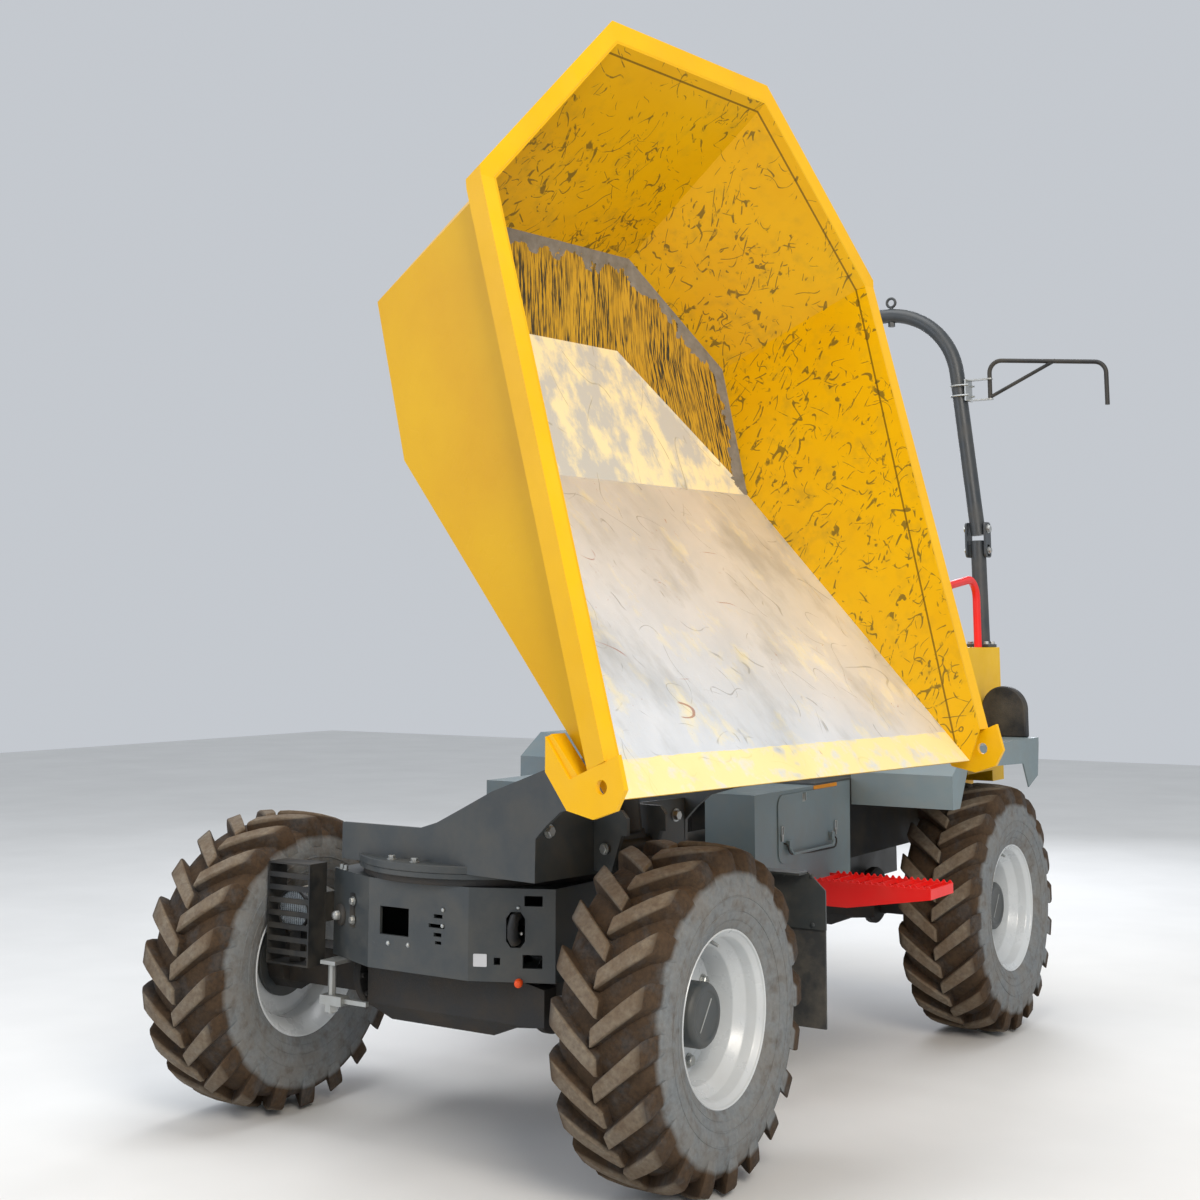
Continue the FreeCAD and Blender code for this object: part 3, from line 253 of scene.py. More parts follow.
# Surface of revolution about X: point = (side * x, r cos a, r sin a) for a profile of (x, r) rows
def turned(profile, segments, centre=(0, 0, 0), side=1, closed=True):
    profile = np.asarray(profile, float)
    angle = np.linspace(0, 2 * math.pi, segments, endpoint=False)
    x, r = profile[:, :1], profile[:, 1:]
    points = np.stack([x * np.ones_like(angle), r * np.cos(angle), r * np.sin(angle)], -1)
    faces = gridFaces(len(profile), segments, wrapRows=closed)
    if side < 0:
        points[..., 0] *= -1
        faces = [face[::-1] for face in faces]
    return points.reshape(-1, 3) + np.asarray(centre), faces


# Cuts each corner of a profile by a small amount on both runs, so that edges catch the light
def eased(profile, cut=0.002, closed=True):
    profile = np.asarray(profile, float)
    before, after = np.roll(profile, 1, 0), np.roll(profile, -1, 0)
    toBefore, toAfter = before - profile, after - profile
    lengthBefore = np.linalg.norm(toBefore, axis=1, keepdims=True)
    lengthAfter = np.linalg.norm(toAfter, axis=1, keepdims=True)
    stepBefore = np.minimum(cut, lengthBefore * 0.4) / lengthBefore
    stepAfter = np.minimum(cut, lengthAfter * 0.4) / lengthAfter
    pairs = np.stack([profile + toBefore * stepBefore, profile + toAfter * stepAfter], 1)
    if not closed:
        pairs[0], pairs[-1] = profile[0], profile[-1]
    return pairs.reshape(-1, profile.shape[1])


# A route whose corners are arcs of radius bend: centre + rotation of the first radius by even steps
def roundedRoute(corners, bend, chords=10):
    corners = [Vector(c) for c in corners]
    route = [corners[0]]
    for before, corner, after in zip(corners, corners[1:], corners[2:]):
        into, out = (corner - before).normalized(), (after - corner).normalized()
        turn = into.angle(out)
        back = bend * math.tan(turn / 2)
        inward = (out - into).normalized()
        centre = corner + inward * (bend / math.cos(turn / 2))
        start = corner - into * back - centre
        axis = into.cross(out).normalized()
        route += [centre + Matrix.Rotation(turn * k / chords, 3, axis) @ start for k in range(chords + 1)]
    return np.array(route + [corners[-1]])


# Round bar: point = route + radius (cos a * aside + sin a * upward), frames from one fixed direction
def tube(route, radius, sides=16, capEnds=True):
    route = np.asarray(route, float)
    way = np.gradient(route, axis=0)
    way /= np.linalg.norm(way, axis=1, keepdims=True)
    spread = np.ptp(route, axis=0)
    fixed = np.eye(3)[int(np.argmin(spread + 1e-6 * np.arange(3)))]
    aside = np.cross(way, fixed)
    aside /= np.linalg.norm(aside, axis=1, keepdims=True)
    upward = np.cross(way, aside)
    angle = np.linspace(0, 2 * math.pi, sides, endpoint=False)
    radius = np.broadcast_to(np.asarray(radius, float).reshape(-1, 1, 1), (len(route), 1, 1))
    ring = np.cos(angle)[None, :, None] * aside[:, None] + np.sin(angle)[None, :, None] * upward[:, None]
    points = route[:, None] + radius * ring
    faces = gridFaces(len(route), sides)
    if capEnds:
        faces += [list(range(sides)), list(range((len(route) - 1) * sides, len(route) * sides))[::-1]]
    return points.reshape(-1, 3), faces


# A flat outline carried along one axis; its corners are the two other coordinates in X, Y, Z order
def slab(outline, along, low, high):
    outline = np.asarray(outline, float)
    area = np.sum(outline[:, 0] * np.roll(outline[:, 1], -1) - np.roll(outline[:, 0], -1) * outline[:, 1])
    if (area > 0) == (along == "y"):
        outline = outline[::-1]
    axis = "xyz".index(along)
    rows = [np.insert(outline, axis, value, axis=1) for value in (low, high)]
    count = len(outline)
    faces = gridFaces(2, count)
    faces = [face[::-1] for face in faces] + [list(range(count))[::-1], list(range(count, 2 * count))]
    return np.concatenate(rows), faces


# Rounds each corner of a closed flat outline with an arc: centre + radius (cos a, sin a)
def rounded(outline, radius, steps=5):
    outline = np.asarray(outline, float)
    result = []
    for before, corner, after in zip(np.roll(outline, 1, 0), outline, np.roll(outline, -1, 0)):
        into = (corner - before) / np.linalg.norm(corner - before)
        out = (after - corner) / np.linalg.norm(after - corner)
        turn = math.acos(float(np.clip(into @ out, -1, 1)))
        if turn < 0.05:
            result.append(corner)
            continue
        reach = min(radius * math.tan(turn / 2), 0.45 * np.linalg.norm(corner - before),
            0.45 * np.linalg.norm(after - corner))
        t = np.linspace(0, 1, steps + 1)[:, None]
        start, end = corner - into * reach, corner + out * reach
        result += list((1 - t) ** 2 * start + 2 * t * (1 - t) * corner + t ** 2 * end)
    return np.array(result)


def brick(x0, x1, y0, y1, z0, z1):
    return slab([(x0, y0), (x1, y0), (x1, y1), (x0, y1)], "z", z0, z1)


# Small bevels on a piece's sharp edges
def softened(piece, width=0.0015, segments=2, angle=35):
    bevel = piece.modifiers.new("softEdges", "BEVEL")
    bevel.width, bevel.segments, bevel.limit_method = width, segments, "ANGLE"
    bevel.angle_limit = math.radians(angle)
    piece.data.shade_smooth()
    weighted = piece.modifiers.new("evenShading", "WEIGHTED_NORMAL")
    weighted.keep_sharp = True
    return piece


# Copies of a small base shape at centres, its +Z turned to each outward direction
def spots(base, centres, outwards):
    points, faces = base
    points = np.asarray(points, float)
    centres, outwards = np.atleast_2d(centres).astype(float), np.atleast_2d(outwards).astype(float)
    outwards = np.broadcast_to(outwards, centres.shape)
    outwards = outwards / np.linalg.norm(outwards, axis=1, keepdims=True)
    guide = np.where(np.abs(outwards[:, 2:]) > 0.9, [[1.0, 0, 0]], [[0, 0, 1.0]])
    first = np.cross(guide, outwards)
    first /= np.linalg.norm(first, axis=1, keepdims=True)
    second = np.cross(outwards, first)
    copies = (points[None, :, :1] * first[:, None] + points[None, :, 1:2] * second[:, None] + points[None,
        :, 2:] * outwards[:, None] + centres[:, None])
    return join([(copy, faces) for copy in copies])


# A hexagon head with a washer under it; size is across the flats
def boltHead(size, height, washer=True):
    def ring(radius, z, sides):
        a = np.linspace(0, 2 * math.pi, sides, endpoint=False)
        return np.stack([radius * np.cos(a), radius * np.sin(a), np.full(sides, z)], -1)

    # Outward faces between rings of points, closed at both ends
    def stacked(rings, sides):
        last = len(rings) * sides
        caps = [list(range(last - sides, last)), list(range(sides))[::-1]]
        return np.concatenate(rings), [face[::-1] for face in gridFaces(len(rings), sides)] + caps

    corner = size / math.sqrt(3)
    parts = [stacked([ring(corner, 0, 6), ring(corner, height * 0.85, 6), ring(corner * 0.86, height, 6)], 6)]
    if washer:
        parts.append(stacked([ring(corner * 1.3, -0.0005, 16), ring(corner * 1.3, height * 0.2, 16)], 16))
    return join(parts)


# Puts a piece in the places of CAD nodes
def dress(piece, *names):
    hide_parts(*names)
    return piece


print("shape tools ready")

# Gives CAD nodes a material
def coat(material, *names):
    for name in names:
        nodes[name].data.materials.clear()
        nodes[name].data.materials.append(material)


# Finishes of the CAD nodes that stay in view
coat(machinePaint, "front_frame", "console_base", "console_cheeks", "ram_ears", "mudguards", "rear_frame",
     "operator_deck", "tail_hitch")
coat(panelPaintPaintedSkyTint, "side_boxes", "side_lid", "fenders")
coat(bodyPaint, "casing", "hood")
coat(castIron, "front_axle", "rear_axle")
coat(blackPaint, "lamp_guards", "hood_grille", "mirrors")
coat(blackPlastic, "rear_lamps", "dash", "seat_base", "steering_wheel")
coat(flapRubber, "mud_flaps")
coat(hoopPaint, "rops_posts", "rops_hoop")
coat(redPaint, "steps", "handrails")
coat(zincSteel, "tow_pin", "slew_ring", "headlamps")
# The engine block's dark grey is painted shade
coat(engineMetalPaintedShade, "engine_block")
print("plain finishes given")


# Skip: each inside plate has its own wear, found from its plane in the level skip's frame
skipPlan = {"swivel": 82.13, "raise": 67.0, "pivot": (0.740, 1.020), "ringY": 0.130, "lipToPivot": 0.1465,
    "lipOverPivot": 0.3246}
turnZ = math.radians(skipPlan["swivel"] - 90)
consoleTurn = Matrix.Rotation(turnZ, 4, "Z")
consolePlace = Matrix.Translation(place((0, skipPlan["ringY"], 0))) @ consoleTurn
skipPlace = (consolePlace @ Matrix.Translation((skipPlan["pivot"][0], 0, skipPlan["pivot"][1]))
    @ Matrix.Rotation(math.radians(skipPlan["raise"]), 4, "Y")
    @ Matrix.Translation((skipPlan["lipToPivot"], 0, skipPlan["lipOverPivot"])))


# Points of a local frame in the machine's
def moved(matrix, points):
    points = np.asarray(points, float).reshape(-1, 3)
    grid = np.array(matrix)
    return points @ grid[:3, :3].T + grid[:3, 3]


skipCorners = {"lip": (0, 0.755, 0), "bend": (-0.984, 0.70425, -0.350), "bottom": (-1.437, 0.275, -0.350),
    "corner": (-1.393, 0.71397, -0.283), "tail": (-1.712, 0.360, -0.242),
    "sideRim": (-1.404, 0.79053, 0.245), "tailRim": (-1.839, 0, 0.400), "bendMid": (-0.984, 0, -0.350),
    "lipMid": (0, 0, 0), "bottomMid": (-1.437, 0, -0.350), "tailMid": (-1.712, 0, -0.242)}


# Yellow plate worn by loads: bare bright steel on the floor, scored ochre paint lower down, scratches above
def skipMaterial():
    material, tree, shader = newMaterial("wornSkipPlate")
    coordNode = add(tree, "TexCoord")
    raw = coordNode.outputs["Object"]
    inverse = skipPlace.inverted()
    local = add(tree, "Mapping", {"Vector": raw, "Rotation": inverse.to_euler("XYZ"),
        "Location": inverse.translation})
    coords = local.outputs[0]
    split = add(tree, "SeparateXYZ", {0: coords})
    folded = add(tree, "CombineXYZ", {0: split.outputs[0], 1: magnitude(tree, split.outputs[1]),
        2: split.outputs[2]}).outputs[0]

    # The face's own direction, folded the same way, keeps each plane's wear off the faces that only cross it
    facing = add(tree, "Mapping", {"Vector": coordNode.outputs["Normal"],
        "Rotation": inverse.to_euler("XYZ")}, vector_type="VECTOR").outputs[0]
    turnedTo = add(tree, "SeparateXYZ", {0: facing})
    facing = add(tree, "CombineXYZ", {0: turnedTo.outputs[0], 1: times(tree, turnedTo.outputs[1],
        sign(tree, split.outputs[1])), 2: turnedTo.outputs[2]}).outputs[0]

    # Distance from the plane through three corners, |n . p - d|, and 1 m more where the face isn't parallel to it
    def gap(first, second, third):
        a, b, c = (Vector(skipCorners[key]) for key in (first, second, third))
        normal = (b - a).cross(c - a).normalized()
        product = add(tree, "VectorMath", {0: folded, 1: normal}, operation="DOT_PRODUCT").outputs["Value"]
        parallel = add(tree, "VectorMath", {0: facing, 1: normal}, operation="DOT_PRODUCT").outputs["Value"]
        apart = magnitude(tree, minus(tree, product, normal.dot(a)))
        return apart, plus(tree, apart, lessThan(tree, magnitude(tree, parallel), 0.97))

    def near(distances, reach):
        return lessThan(tree, distances[1], reach)

    thin = 0.0025
    floorMask = near(gap("lip", "bend", "lipMid"), thin)
    bottomMask = near(gap("bottom", "bend", "bendMid"), thin)
    ring = near(gap("bottom", "tail", "bottomMid"), thin)
    for names in (("bottom", "bend", "corner"), ("bottom", "corner", "tail")):
        ring = larger(tree, ring, near(gap(*names), thin))
    walls = [gap("lip", "bend", "sideRim"), gap("corner", "sideRim", "tail"),
        gap("tail", "tailMid", "tailRim")]
    upper = near(walls[0], thin)
    for wall in walls[1:]:
        upper = larger(tree, upper, near(wall, thin))
    ragged = times(tree, blotches(tree, coords, 0.07, 0.35, 0.68, 6.0), 0.055)
    edge = walls[0][0]
    for wall in walls[1:]:
        edge = smaller(tree, edge, wall[0])
    weld = times(tree, ring, lessThan(tree, edge, plus(tree, ragged, 0.012)))

    tone = blotches(tree, coords, 0.30, 0.25, 0.75)
    fresh = mixed(tree, tone, "#e0ad00", "#d8a100")
    # Upper walls: thin dark scratches 20 to 90 mm long in every direction, thickest low down
    depth = add(tree, "MapRange", {"Value": split.outputs[2], "From Min": 0.30, "From Max": -0.25}).outputs[0]
    patch = blotches(tree, coords, 0.20, 0.38, 0.62)
    often = plus(tree, times(tree, patch, 0.55), times(tree, depth, 0.45), True)
    allOver = scratches(tree, coords, 0.100, 0.0026, 0.56, ((20, 35, 60), (-40, 20, 110), (60, -30, 15),
        (10, 70, 150), (0, 45, 80)), 0.15)
    lowDown = scratches(tree, coords, 0.070, 0.0034, 0.53, ((0, 55, 20), (0, 40, -25), (30, 60, 5),
        (0, 50, 50)), 0.14)
    lowDown = times(tree, lowDown, moreThan(tree, often, 0.42))
    marks = larger(tree, allOver, lowDown)
    rubbed = times(tree, blotches(tree, coords, 0.05, 0.50, 0.75, 8.0), times(tree, often, 0.45))
    upperColour = mixed(tree, rubbed, fresh, "#8d7a2e")
    upperColour = mixed(tree, times(tree, marks, 0.75), upperColour, "#4a4423")
    # Weld line 30 mm inside the rim, whose height is z = -0.1745 x on the sides and steeper at the tail
    backwards = times(tree, split.outputs[0], -1.0)
    rimHeight = larger(tree, times(tree, backwards, 0.1745), plus(tree,
        times(tree, minus(tree, backwards, 1.404), 0.356), 0.245))
    below = minus(tree, rimHeight, split.outputs[2])
    rimWeld = lessThan(tree, magnitude(tree, minus(tree, below, 0.030)), 0.0028)
    upperColour = mixed(tree, times(tree, rimWeld, 0.8), upperColour, "#5c430f")
    # The ring is scored nearly black along the way the load slides
    streaks = blotches(tree, coords, 0.0050, 0.47, 0.56, 2.0, (0.06, 1.0, 0.06))
    streakPatch = blotches(tree, coords, 0.12, 0.30, 0.56, 4.0, (0.6, 1, 0.6))
    ringColour = mixed(tree, tone, "#c99e2e", "#b58a22")
    ringColour = mixed(tree, times(tree, streaks, plus(tree, streakPatch, 0.15, True)), ringColour,
        "#35332a")
    # Floor: bare steel, with paint left in faint patches and in a strip at the lip
    sheen = blotches(tree, coords, 0.20, 0.3, 0.7, 4.0, (0.5, 1, 1))
    steel = mixed(tree, sheen, "#eef3f8", "#dbe1e6")
    lines = scratches(tree, coords, 0.20, 0.0032, 0.53, ((0, 20, 8), (0, 20, -14), (0, 20, 40)), 0.08)
    steel = mixed(tree, times(tree, lines, 0.5), steel, "#8f9290")
    dull = blotches(tree, coords, 0.16, 0.52, 0.70, 7.0, (0.5, 1.2, 1))
    steel = mixed(tree, times(tree, dull, 0.45), steel, "#a9acaa")
    left = blotches(tree, coords, 0.11, 0.55, 0.74, 9.0, (0.7, 1.2, 1.2))
    lipBand = moreThan(tree, split.outputs[0], minus(tree, times(tree, ragged, 0.08), 0.098))
    lipPaint = times(tree, lipBand, blotches(tree, coords, 0.05, 0.25, 0.50, 8.0))
    paintLeft = larger(tree, times(tree, left, 0.55), times(tree, lipPaint, 0.8))
    floorColour = mixed(tree, paintLeft, steel, "#f2dd84")
    rust = blotches(tree, coords, 0.022, 0.71, 0.74, 4.0, (0.5, 1, 1), 2.0)
    scar = scratches(tree, coords, 0.30, 0.0024, 0.60, ((0, 20, 70), (0, 20, 25)), 0.05)
    floorColour = mixed(tree, times(tree, larger(tree, rust, scar), 0.65), floorColour, "#a3512a")
    # Bottom plate: yellow paint lightened to pale cream as painted sunlight, with worn grey patches and grey
    # streaks
    bottomWear = blotches(tree, coords, 0.10, 0.44, 0.58, 9.0, (0.8, 1.2, 1))
    bottomColourPaintedLight = mixed(tree, bottomWear, "#f2e3b4", "#c4c2ba")
    bottomColourPaintedLight = mixed(tree, times(tree, lines, 0.4), bottomColourPaintedLight, "#8a7a4a")
    grey = mixed(tree, blotches(tree, coords, 0.03, 0.3, 0.7, 8.0), "#6f6a60", "#86817a")

    result = mixed(tree, upper, fresh, upperColour)
    result = mixed(tree, ring, result, ringColour)
    result = mixed(tree, bottomMask, result, bottomColourPaintedLight)
    result = mixed(tree, floorMask, result, floorColour)
    result = mixed(tree, weld, result, grey)
    bare = times(tree, floorMask, minus(tree, 1.0, paintLeft, True))
    rough = plus(tree, 0.36, times(tree, larger(tree, ring, bottomMask), 0.25))
    feed(tree, shader, {"Metallic": times(tree, bare, 0.55)})
    relief = plus(tree, times(tree, marks, -0.5), times(tree, sheen, 0.6))
    finish(tree, shader, result, rough, relief, 0.3, 0.0015, Specular_IOR_Level=0.25)
    return material


skipPaint = skipMaterial()
rimYellow = paintedSteel("glossPaintSkipEdge", "#edb602", "#e2aa02", roughness=0.34, dustAmount=0.05,
    scratch="#4a452f", scratchAmount=0.4, gloss=0.25)
coat(skipPaint, "skip_shell")
coat(rimYellow, "skip_rim", "skip_ears", "skip_brackets")
print("skip painted")


# Wheels: tyre, rim and hub made smooth in the places of the CAD pieces
tyrePlan = {"radius": 0.418, "halfWidth": 0.146, "lugs": 20, "slant": 38.0, "lugWidth": 0.040,
    "inner": -0.008, "outer": 0.136, "height": 0.418}


# Vulcanised rubber, matt: grey on the side, brown mud on the tread; the tread attribute says which
def tyreRubber():
    material, tree, shader = newMaterial("vulcanisedRubber")
    coords = add(tree, "TexCoord").outputs["Object"]
    tread = add(tree, "Attribute", attribute_name="tread").outputs["Fac"]
    speckle = blotches(tree, coords, 0.012, 0.35, 0.65, 9.0)
    broad = blotches(tree, coords, 0.08, 0.38, 0.62, 6.0)
    side = mixed(tree, speckle, "#6c7072", "#787c7e")
    side = mixed(tree, times(tree, broad, 0.40), side, "#85817a")
    scuff = blotches(tree, coords, 0.035, 0.50, 0.72, 8.0)
    side = mixed(tree, times(tree, scuff, 0.55), side, "#54483b")
    mud = mixed(tree, speckle, "#2e2620", "#46382b")
    mud = mixed(tree, times(tree, broad, 0.4), mud, "#5a4631")
    crown = mixed(tree, speckle, "#857a69", "#6b6054")
    crown = mixed(tree, times(tree, broad, 0.5), crown, "#5b4733")
    low = add(tree, "MapRange", {"Value": tread, "From Min": 0.14, "From Max": 0.32}).outputs[0]
    ragged = plus(tree, low, times(tree, minus(tree, broad, 0.5), 0.3), True)
    high = add(tree, "MapRange", {"Value": tread, "From Min": 0.93, "From Max": 0.99}).outputs[0]
    body = mixed(tree, ragged, side, mud)
    body = mixed(tree, times(tree, high, 0.85), body, crown)
    grain = blotches(tree, coords, 0.006, 0.3, 0.7, 6.0)
    finish(tree, shader, body, 0.85, grain, 0.5, 0.001, Specular_IOR_Level=0.25)
    return material


rubber = tyreRubber()


# Carcass as a surface of revolution, and bars that follow a helix: angle = start - x tan(slant) / radius
def tyreShape(centre):
    plan = tyrePlan
    side = [(0.112, 0.2035), (0.121, 0.209), (0.129, 0.222), (0.137, 0.245), (0.1445, 0.275),
        (0.1460, 0.300), (0.1425, 0.325), (0.1350, 0.347), (0.1250, 0.363), (0.1080, 0.373),
        (0.0700, 0.3795), (0.0350, 0.382)]
    profile = side + [(0, 0.383)] + [(-x, r) for x, r in side[::-1]]
    parts = [turned(profile, 120, centre)]
    # Moulded ribs near the bead
    for way in (1, -1):
        rib = [(way * 0.1275, 0.2290), (way * 0.1325, 0.2320), (way * 0.1345, 0.2350), (way * 0.1290, 0.2390)]
        parts.append(turned(rib if way > 0 else rib[::-1], 96, centre))
        for x, r in ((0.1405, 0.258), (0.1458, 0.292)):
            rib = [(way * (x - 0.003), r - 0.0025), (way * (x + 0.0012), r - 0.0012),
                (way * (x + 0.0012), r + 0.0012), (way * (x - 0.003), r + 0.0025)]
            parts.append(turned(rib if way > 0 else rib[::-1], 96, centre))
    slant = math.radians(plan["slant"])
    halfLength = (plan["outer"] - plan["inner"]) / 2 / math.cos(slant)
    reach = halfLength * math.sin(slant) + plan["lugWidth"] / 2 * math.cos(slant)
    begin = math.radians(90) - math.atan2(reach, math.sqrt(plan["height"] ** 2 - reach ** 2))
    # Stations along the bar: place across the tyre, top radius, width, foot radius
    stations = np.array([[-0.008, 0.396, 0.030, 0.378], [-0.008, 0.412, 0.031, 0.378],
        [-0.003, 0.4165, 0.034, 0.378], [0.030, 0.4165, 0.036, 0.376], [0.070, 0.4150, 0.039, 0.372],
        [0.105, 0.4110, 0.043, 0.366], [0.124, 0.4060, 0.046, 0.358], [0.133, 0.3960, 0.047, 0.350],
        [0.1400, 0.370, 0.047, 0.342], [0.1445, 0.340, 0.046, 0.330], [0.1440, 0.322, 0.043, 0.316]])
    across, top, width, foot = stations.T
    # Section round the bar, as (share of half width, share of height)
    section = np.array([(1.22, 0.0), (1.10, 0.35), (1.02, 0.80), (0.94, 0.95), (0.82, 1.0), (-0.82, 1.0),
        (-0.94, 0.95), (-1.02, 0.80), (-1.10, 0.35), (-1.22, 0.0)])
    depth = top - foot
    shoulder = np.clip((across - 0.12) / 0.02, 0, 1)[:, None]
    radius = foot[:, None] + section[None, :, 1] * depth[:, None]
    spread = section[None, :, 0] * width[:, None] / 2 / math.cos(slant)
    x = across[:, None] - shoulder * 0.016 * (1 - section[None, :, 1])
    arc = (x - 0.064) * math.tan(slant) + spread
    count = plan["lugs"]
    for way, offset in ((1, 0.0), (-1, 0.5)):
        turns = begin + 2 * math.pi * (np.arange(count) + offset) / count
        angle = turns[:, None, None] - arc[None] / 0.40
        rr = np.broadcast_to(radius, angle.shape)
        points = np.stack([np.broadcast_to(way * x, angle.shape), -rr * np.cos(angle),
            -rr * np.sin(angle)], -1)
        size = points.shape[1] * points.shape[2]
        one = gridFaces(points.shape[1], points.shape[2])
        one += [list(range(10)), list(range(size - 10, size))[::-1]]
        if way > 0:
            one = [face[::-1] for face in one]
        parts += [(points[k].reshape(-1, 3) + centre, one) for k in range(count)]
    return join(parts)


rimProfile = eased([(0.125, 0.2125), (0.118, 0.2125), (0.1135, 0.1995), (0.070, 0.1985), (0.050, 0.174),
    (-0.070, 0.174), (-0.090, 0.1985), (-0.1135, 0.1995), (-0.118, 0.2125), (-0.125, 0.2125),
    (-0.125, 0.2065), (-0.072, 0.166), (0.052, 0.166), (0.078, 0.190), (0.108, 0.1925), (0.119, 0.2065),
    (0.125, 0.2070)], 0.003)
discProfile = eased([(-0.025, 0.170), (-0.028, 0.150), (-0.025, 0.130), (-0.025, 0.083), (-0.015, 0.083),
    (-0.015, 0.130), (-0.018, 0.150), (-0.015, 0.170)], 0.003)
hubFace = 0.0665
hubProfile = eased([(-0.040, 0.0), (-0.040, 0.110), (-0.026, 0.110), (-0.026, 0.0795), (0.060, 0.0795),
    (0.0685, 0.072), (0.0700, 0.060), (hubFace, 0.056), (hubFace, 0.0)], 0.002)
wheelBolts = {"count": 8, "circle": 0.1375, "size": 0.024, "height": 0.014, "disc": -0.015}

for name, side in (("front_left", 1), ("front_right", -1), ("rear_left", 1), ("rear_right", -1)):
    low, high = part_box("tyre_" + name)
    centre = np.array((low + high) / 2)
    body = "wheel_" + name
    shape = tyreShape(centre)
    tyre = meshPiece("tyre_" + name + "_tread", [shape], rubber, body, sharp=40)
    offset = shape[0] - centre
    height = np.hypot(offset[:, 1], offset[:, 2])
    value = np.clip((height - 0.33) / (0.41 - 0.33), 0, 1)
    tyre.data.attributes.new("tread", "FLOAT", "POINT").data.foreach_set("value", value)
    dress(tyre, "tyre_" + name)
    rim = [turned(rimProfile, 96, centre, side), turned(discProfile, 64, centre, side)]
    dress(meshPiece("rim_" + name + "_steel", rim, rimPaint, body, sharp=35), "rim_" + name)
    hub = turned(hubProfile, 64, centre, side, closed=False)
    dress(meshPiece("hub_" + name + "_cast", [hub], machinePaint, body, sharp=35), "hub_" + name)
    angles = 2 * math.pi * (np.arange(wheelBolts["count"]) + 0.5) / wheelBolts["count"]
    circle = wheelBolts["circle"] * np.array([np.cos(angles), np.sin(angles)])
    ring = np.stack([np.full(wheelBolts["count"], side * wheelBolts["disc"]), *circle], -1) + centre
    nuts = spots(boltHead(wheelBolts["size"], wheelBolts["height"]), ring, (side, 0, 0))
    # The raised bar on the hub's cap, turned by 52 degrees about the axle
    points, faces = brick(-0.046, 0.046, -0.0018, 0.0018, 0, 0.0012)
    wide, tall, out = points.T
    turn, rise = math.cos(math.radians(52)), math.sin(math.radians(52))
    points = np.stack([side * (hubFace + out), wide * turn - tall * rise, wide * rise + tall * turn], -1)
    mark = (points + centre, faces if side > 0 else [face[::-1] for face in faces])
    stem = tube(centre + np.array([[side * 0.06, 0, 0.183], [side * 0.085, 0, 0.179],
        [side * 0.105, 0, 0.170]]), [0.006, 0.005, 0.004], 10)
    meshPiece("bolts_" + name, [nuts, mark, stem], zincSteel, body, sharp=30)
print("wheels made")


# Roll-over hoop, lower legs, handrails and mirror bows: smooth bars in the places of the flat-sided ones
hoopPlan = {"y": 2.420, "joint": 1.760, "foot": 1.7359, "half": 0.600, "lean": 0.104, "top": 2.6315,
    "radius": 0.0285, "bend": 0.290, "sides": 32}
eyePlan = {"x": 0.267, "z": 2.684, "radius": 0.018, "bar": 0.0055}
legPlan = {"base": 0.605, "foot": 1.322, "top": 1.715, "under": 1.3103, "plate": 0.045,
    "ears": (0.5585, 0.6335), "thick": 0.008}
railPlan = {"bend": 0.070, "radius": 0.0145, "route": ((0.620, 2.330, 1.3103), (0.620, 2.330, 1.570),
    (0.620, 1.800, 1.500), (0.700, 1.640, 1.350), (0.700, 1.640, 0.9883))}
mirrorPlan = {"hinge": 0.125, "at": 2.300, "low": 2.262, "high": 2.412, "outX": 1.120, "outHigh": 2.366,
    "outLow": 2.205, "bend": 0.045, "bar": 0.0085, "strutBar": 0.007, "clampBar": 0.004}


# Half width of the hoop at a height: half - lean * (z - joint)
def hoopHalf(z):
    return hoopPlan["half"] - hoopPlan["lean"] * (z - hoopPlan["joint"])


# Pairs (x, z) as points in the hoop's plane, on the side given as 1 or -1
def inHoop(side, *pairs):
    return [(side * x, hoopPlan["y"], z) for x, z in pairs]


# A block between two distances from the middle plane, on one side
def sideBrick(side, x0, x1, *rest):
    return brick(*sorted((side * x0, side * x1)), *rest)


half, top = hoopHalf(hoopPlan["foot"]), hoopHalf(hoopPlan["top"])
route = roundedRoute(inHoop(1, (half, hoopPlan["foot"]), (top, hoopPlan["top"]), (-top, hoopPlan["top"]),
    (-half, hoopPlan["foot"])), hoopPlan["bend"], 16)
parts = [tube(place(route), hoopPlan["radius"], hoopPlan["sides"])]
angle = np.linspace(0, 2 * math.pi, 33)
for side in (1, -1):
    loop = np.stack([side * eyePlan["x"] + eyePlan["radius"] * np.cos(angle), np.full(33, hoopPlan["y"]),
        eyePlan["z"] + eyePlan["radius"] * np.sin(angle)], -1)
    parts.append(tube(place(loop), eyePlan["bar"], 12, capEnds=False))
    for low, high, radius, sides in ((2.620, 2.664, 0.008, 16), (2.586, 2.628, 0.014, 6)):  # shank, nut
        parts.append(tube(place(inHoop(side, (eyePlan["x"], low), (eyePlan["x"], high))), radius, sides))
dress(meshPiece("hoop_bar", parts, hoopPaint, "rops_hoop", sharp=40), "rops_hoop")

legs, rails, bows = [], [], []
inner = hoopHalf(mirrorPlan["at"]) + mirrorPlan["hinge"]
for side in (1, -1):
    ends = inHoop(side, (legPlan["base"], legPlan["foot"]), (hoopPlan["half"], legPlan["top"]))
    legs.append(tube(place(ends), hoopPlan["radius"], hoopPlan["sides"]))
    route = roundedRoute([(side * x, y, z) for x, y, z in railPlan["route"]], railPlan["bend"], 8)
    rails.append(tube(place(route), railPlan["radius"], 20))
    bow = inHoop(side, (inner, mirrorPlan["low"]), (inner, mirrorPlan["high"]),
        (mirrorPlan["outX"], mirrorPlan["outHigh"]), (mirrorPlan["outX"], mirrorPlan["outLow"]))
    bows.append(tube(place(roundedRoute(bow, mirrorPlan["bend"], 8)), mirrorPlan["bar"], 16))
    bows.append(tube(place(inHoop(side, (inner, 2.268), (0.930, 2.3895))), mirrorPlan["strutBar"], 14))
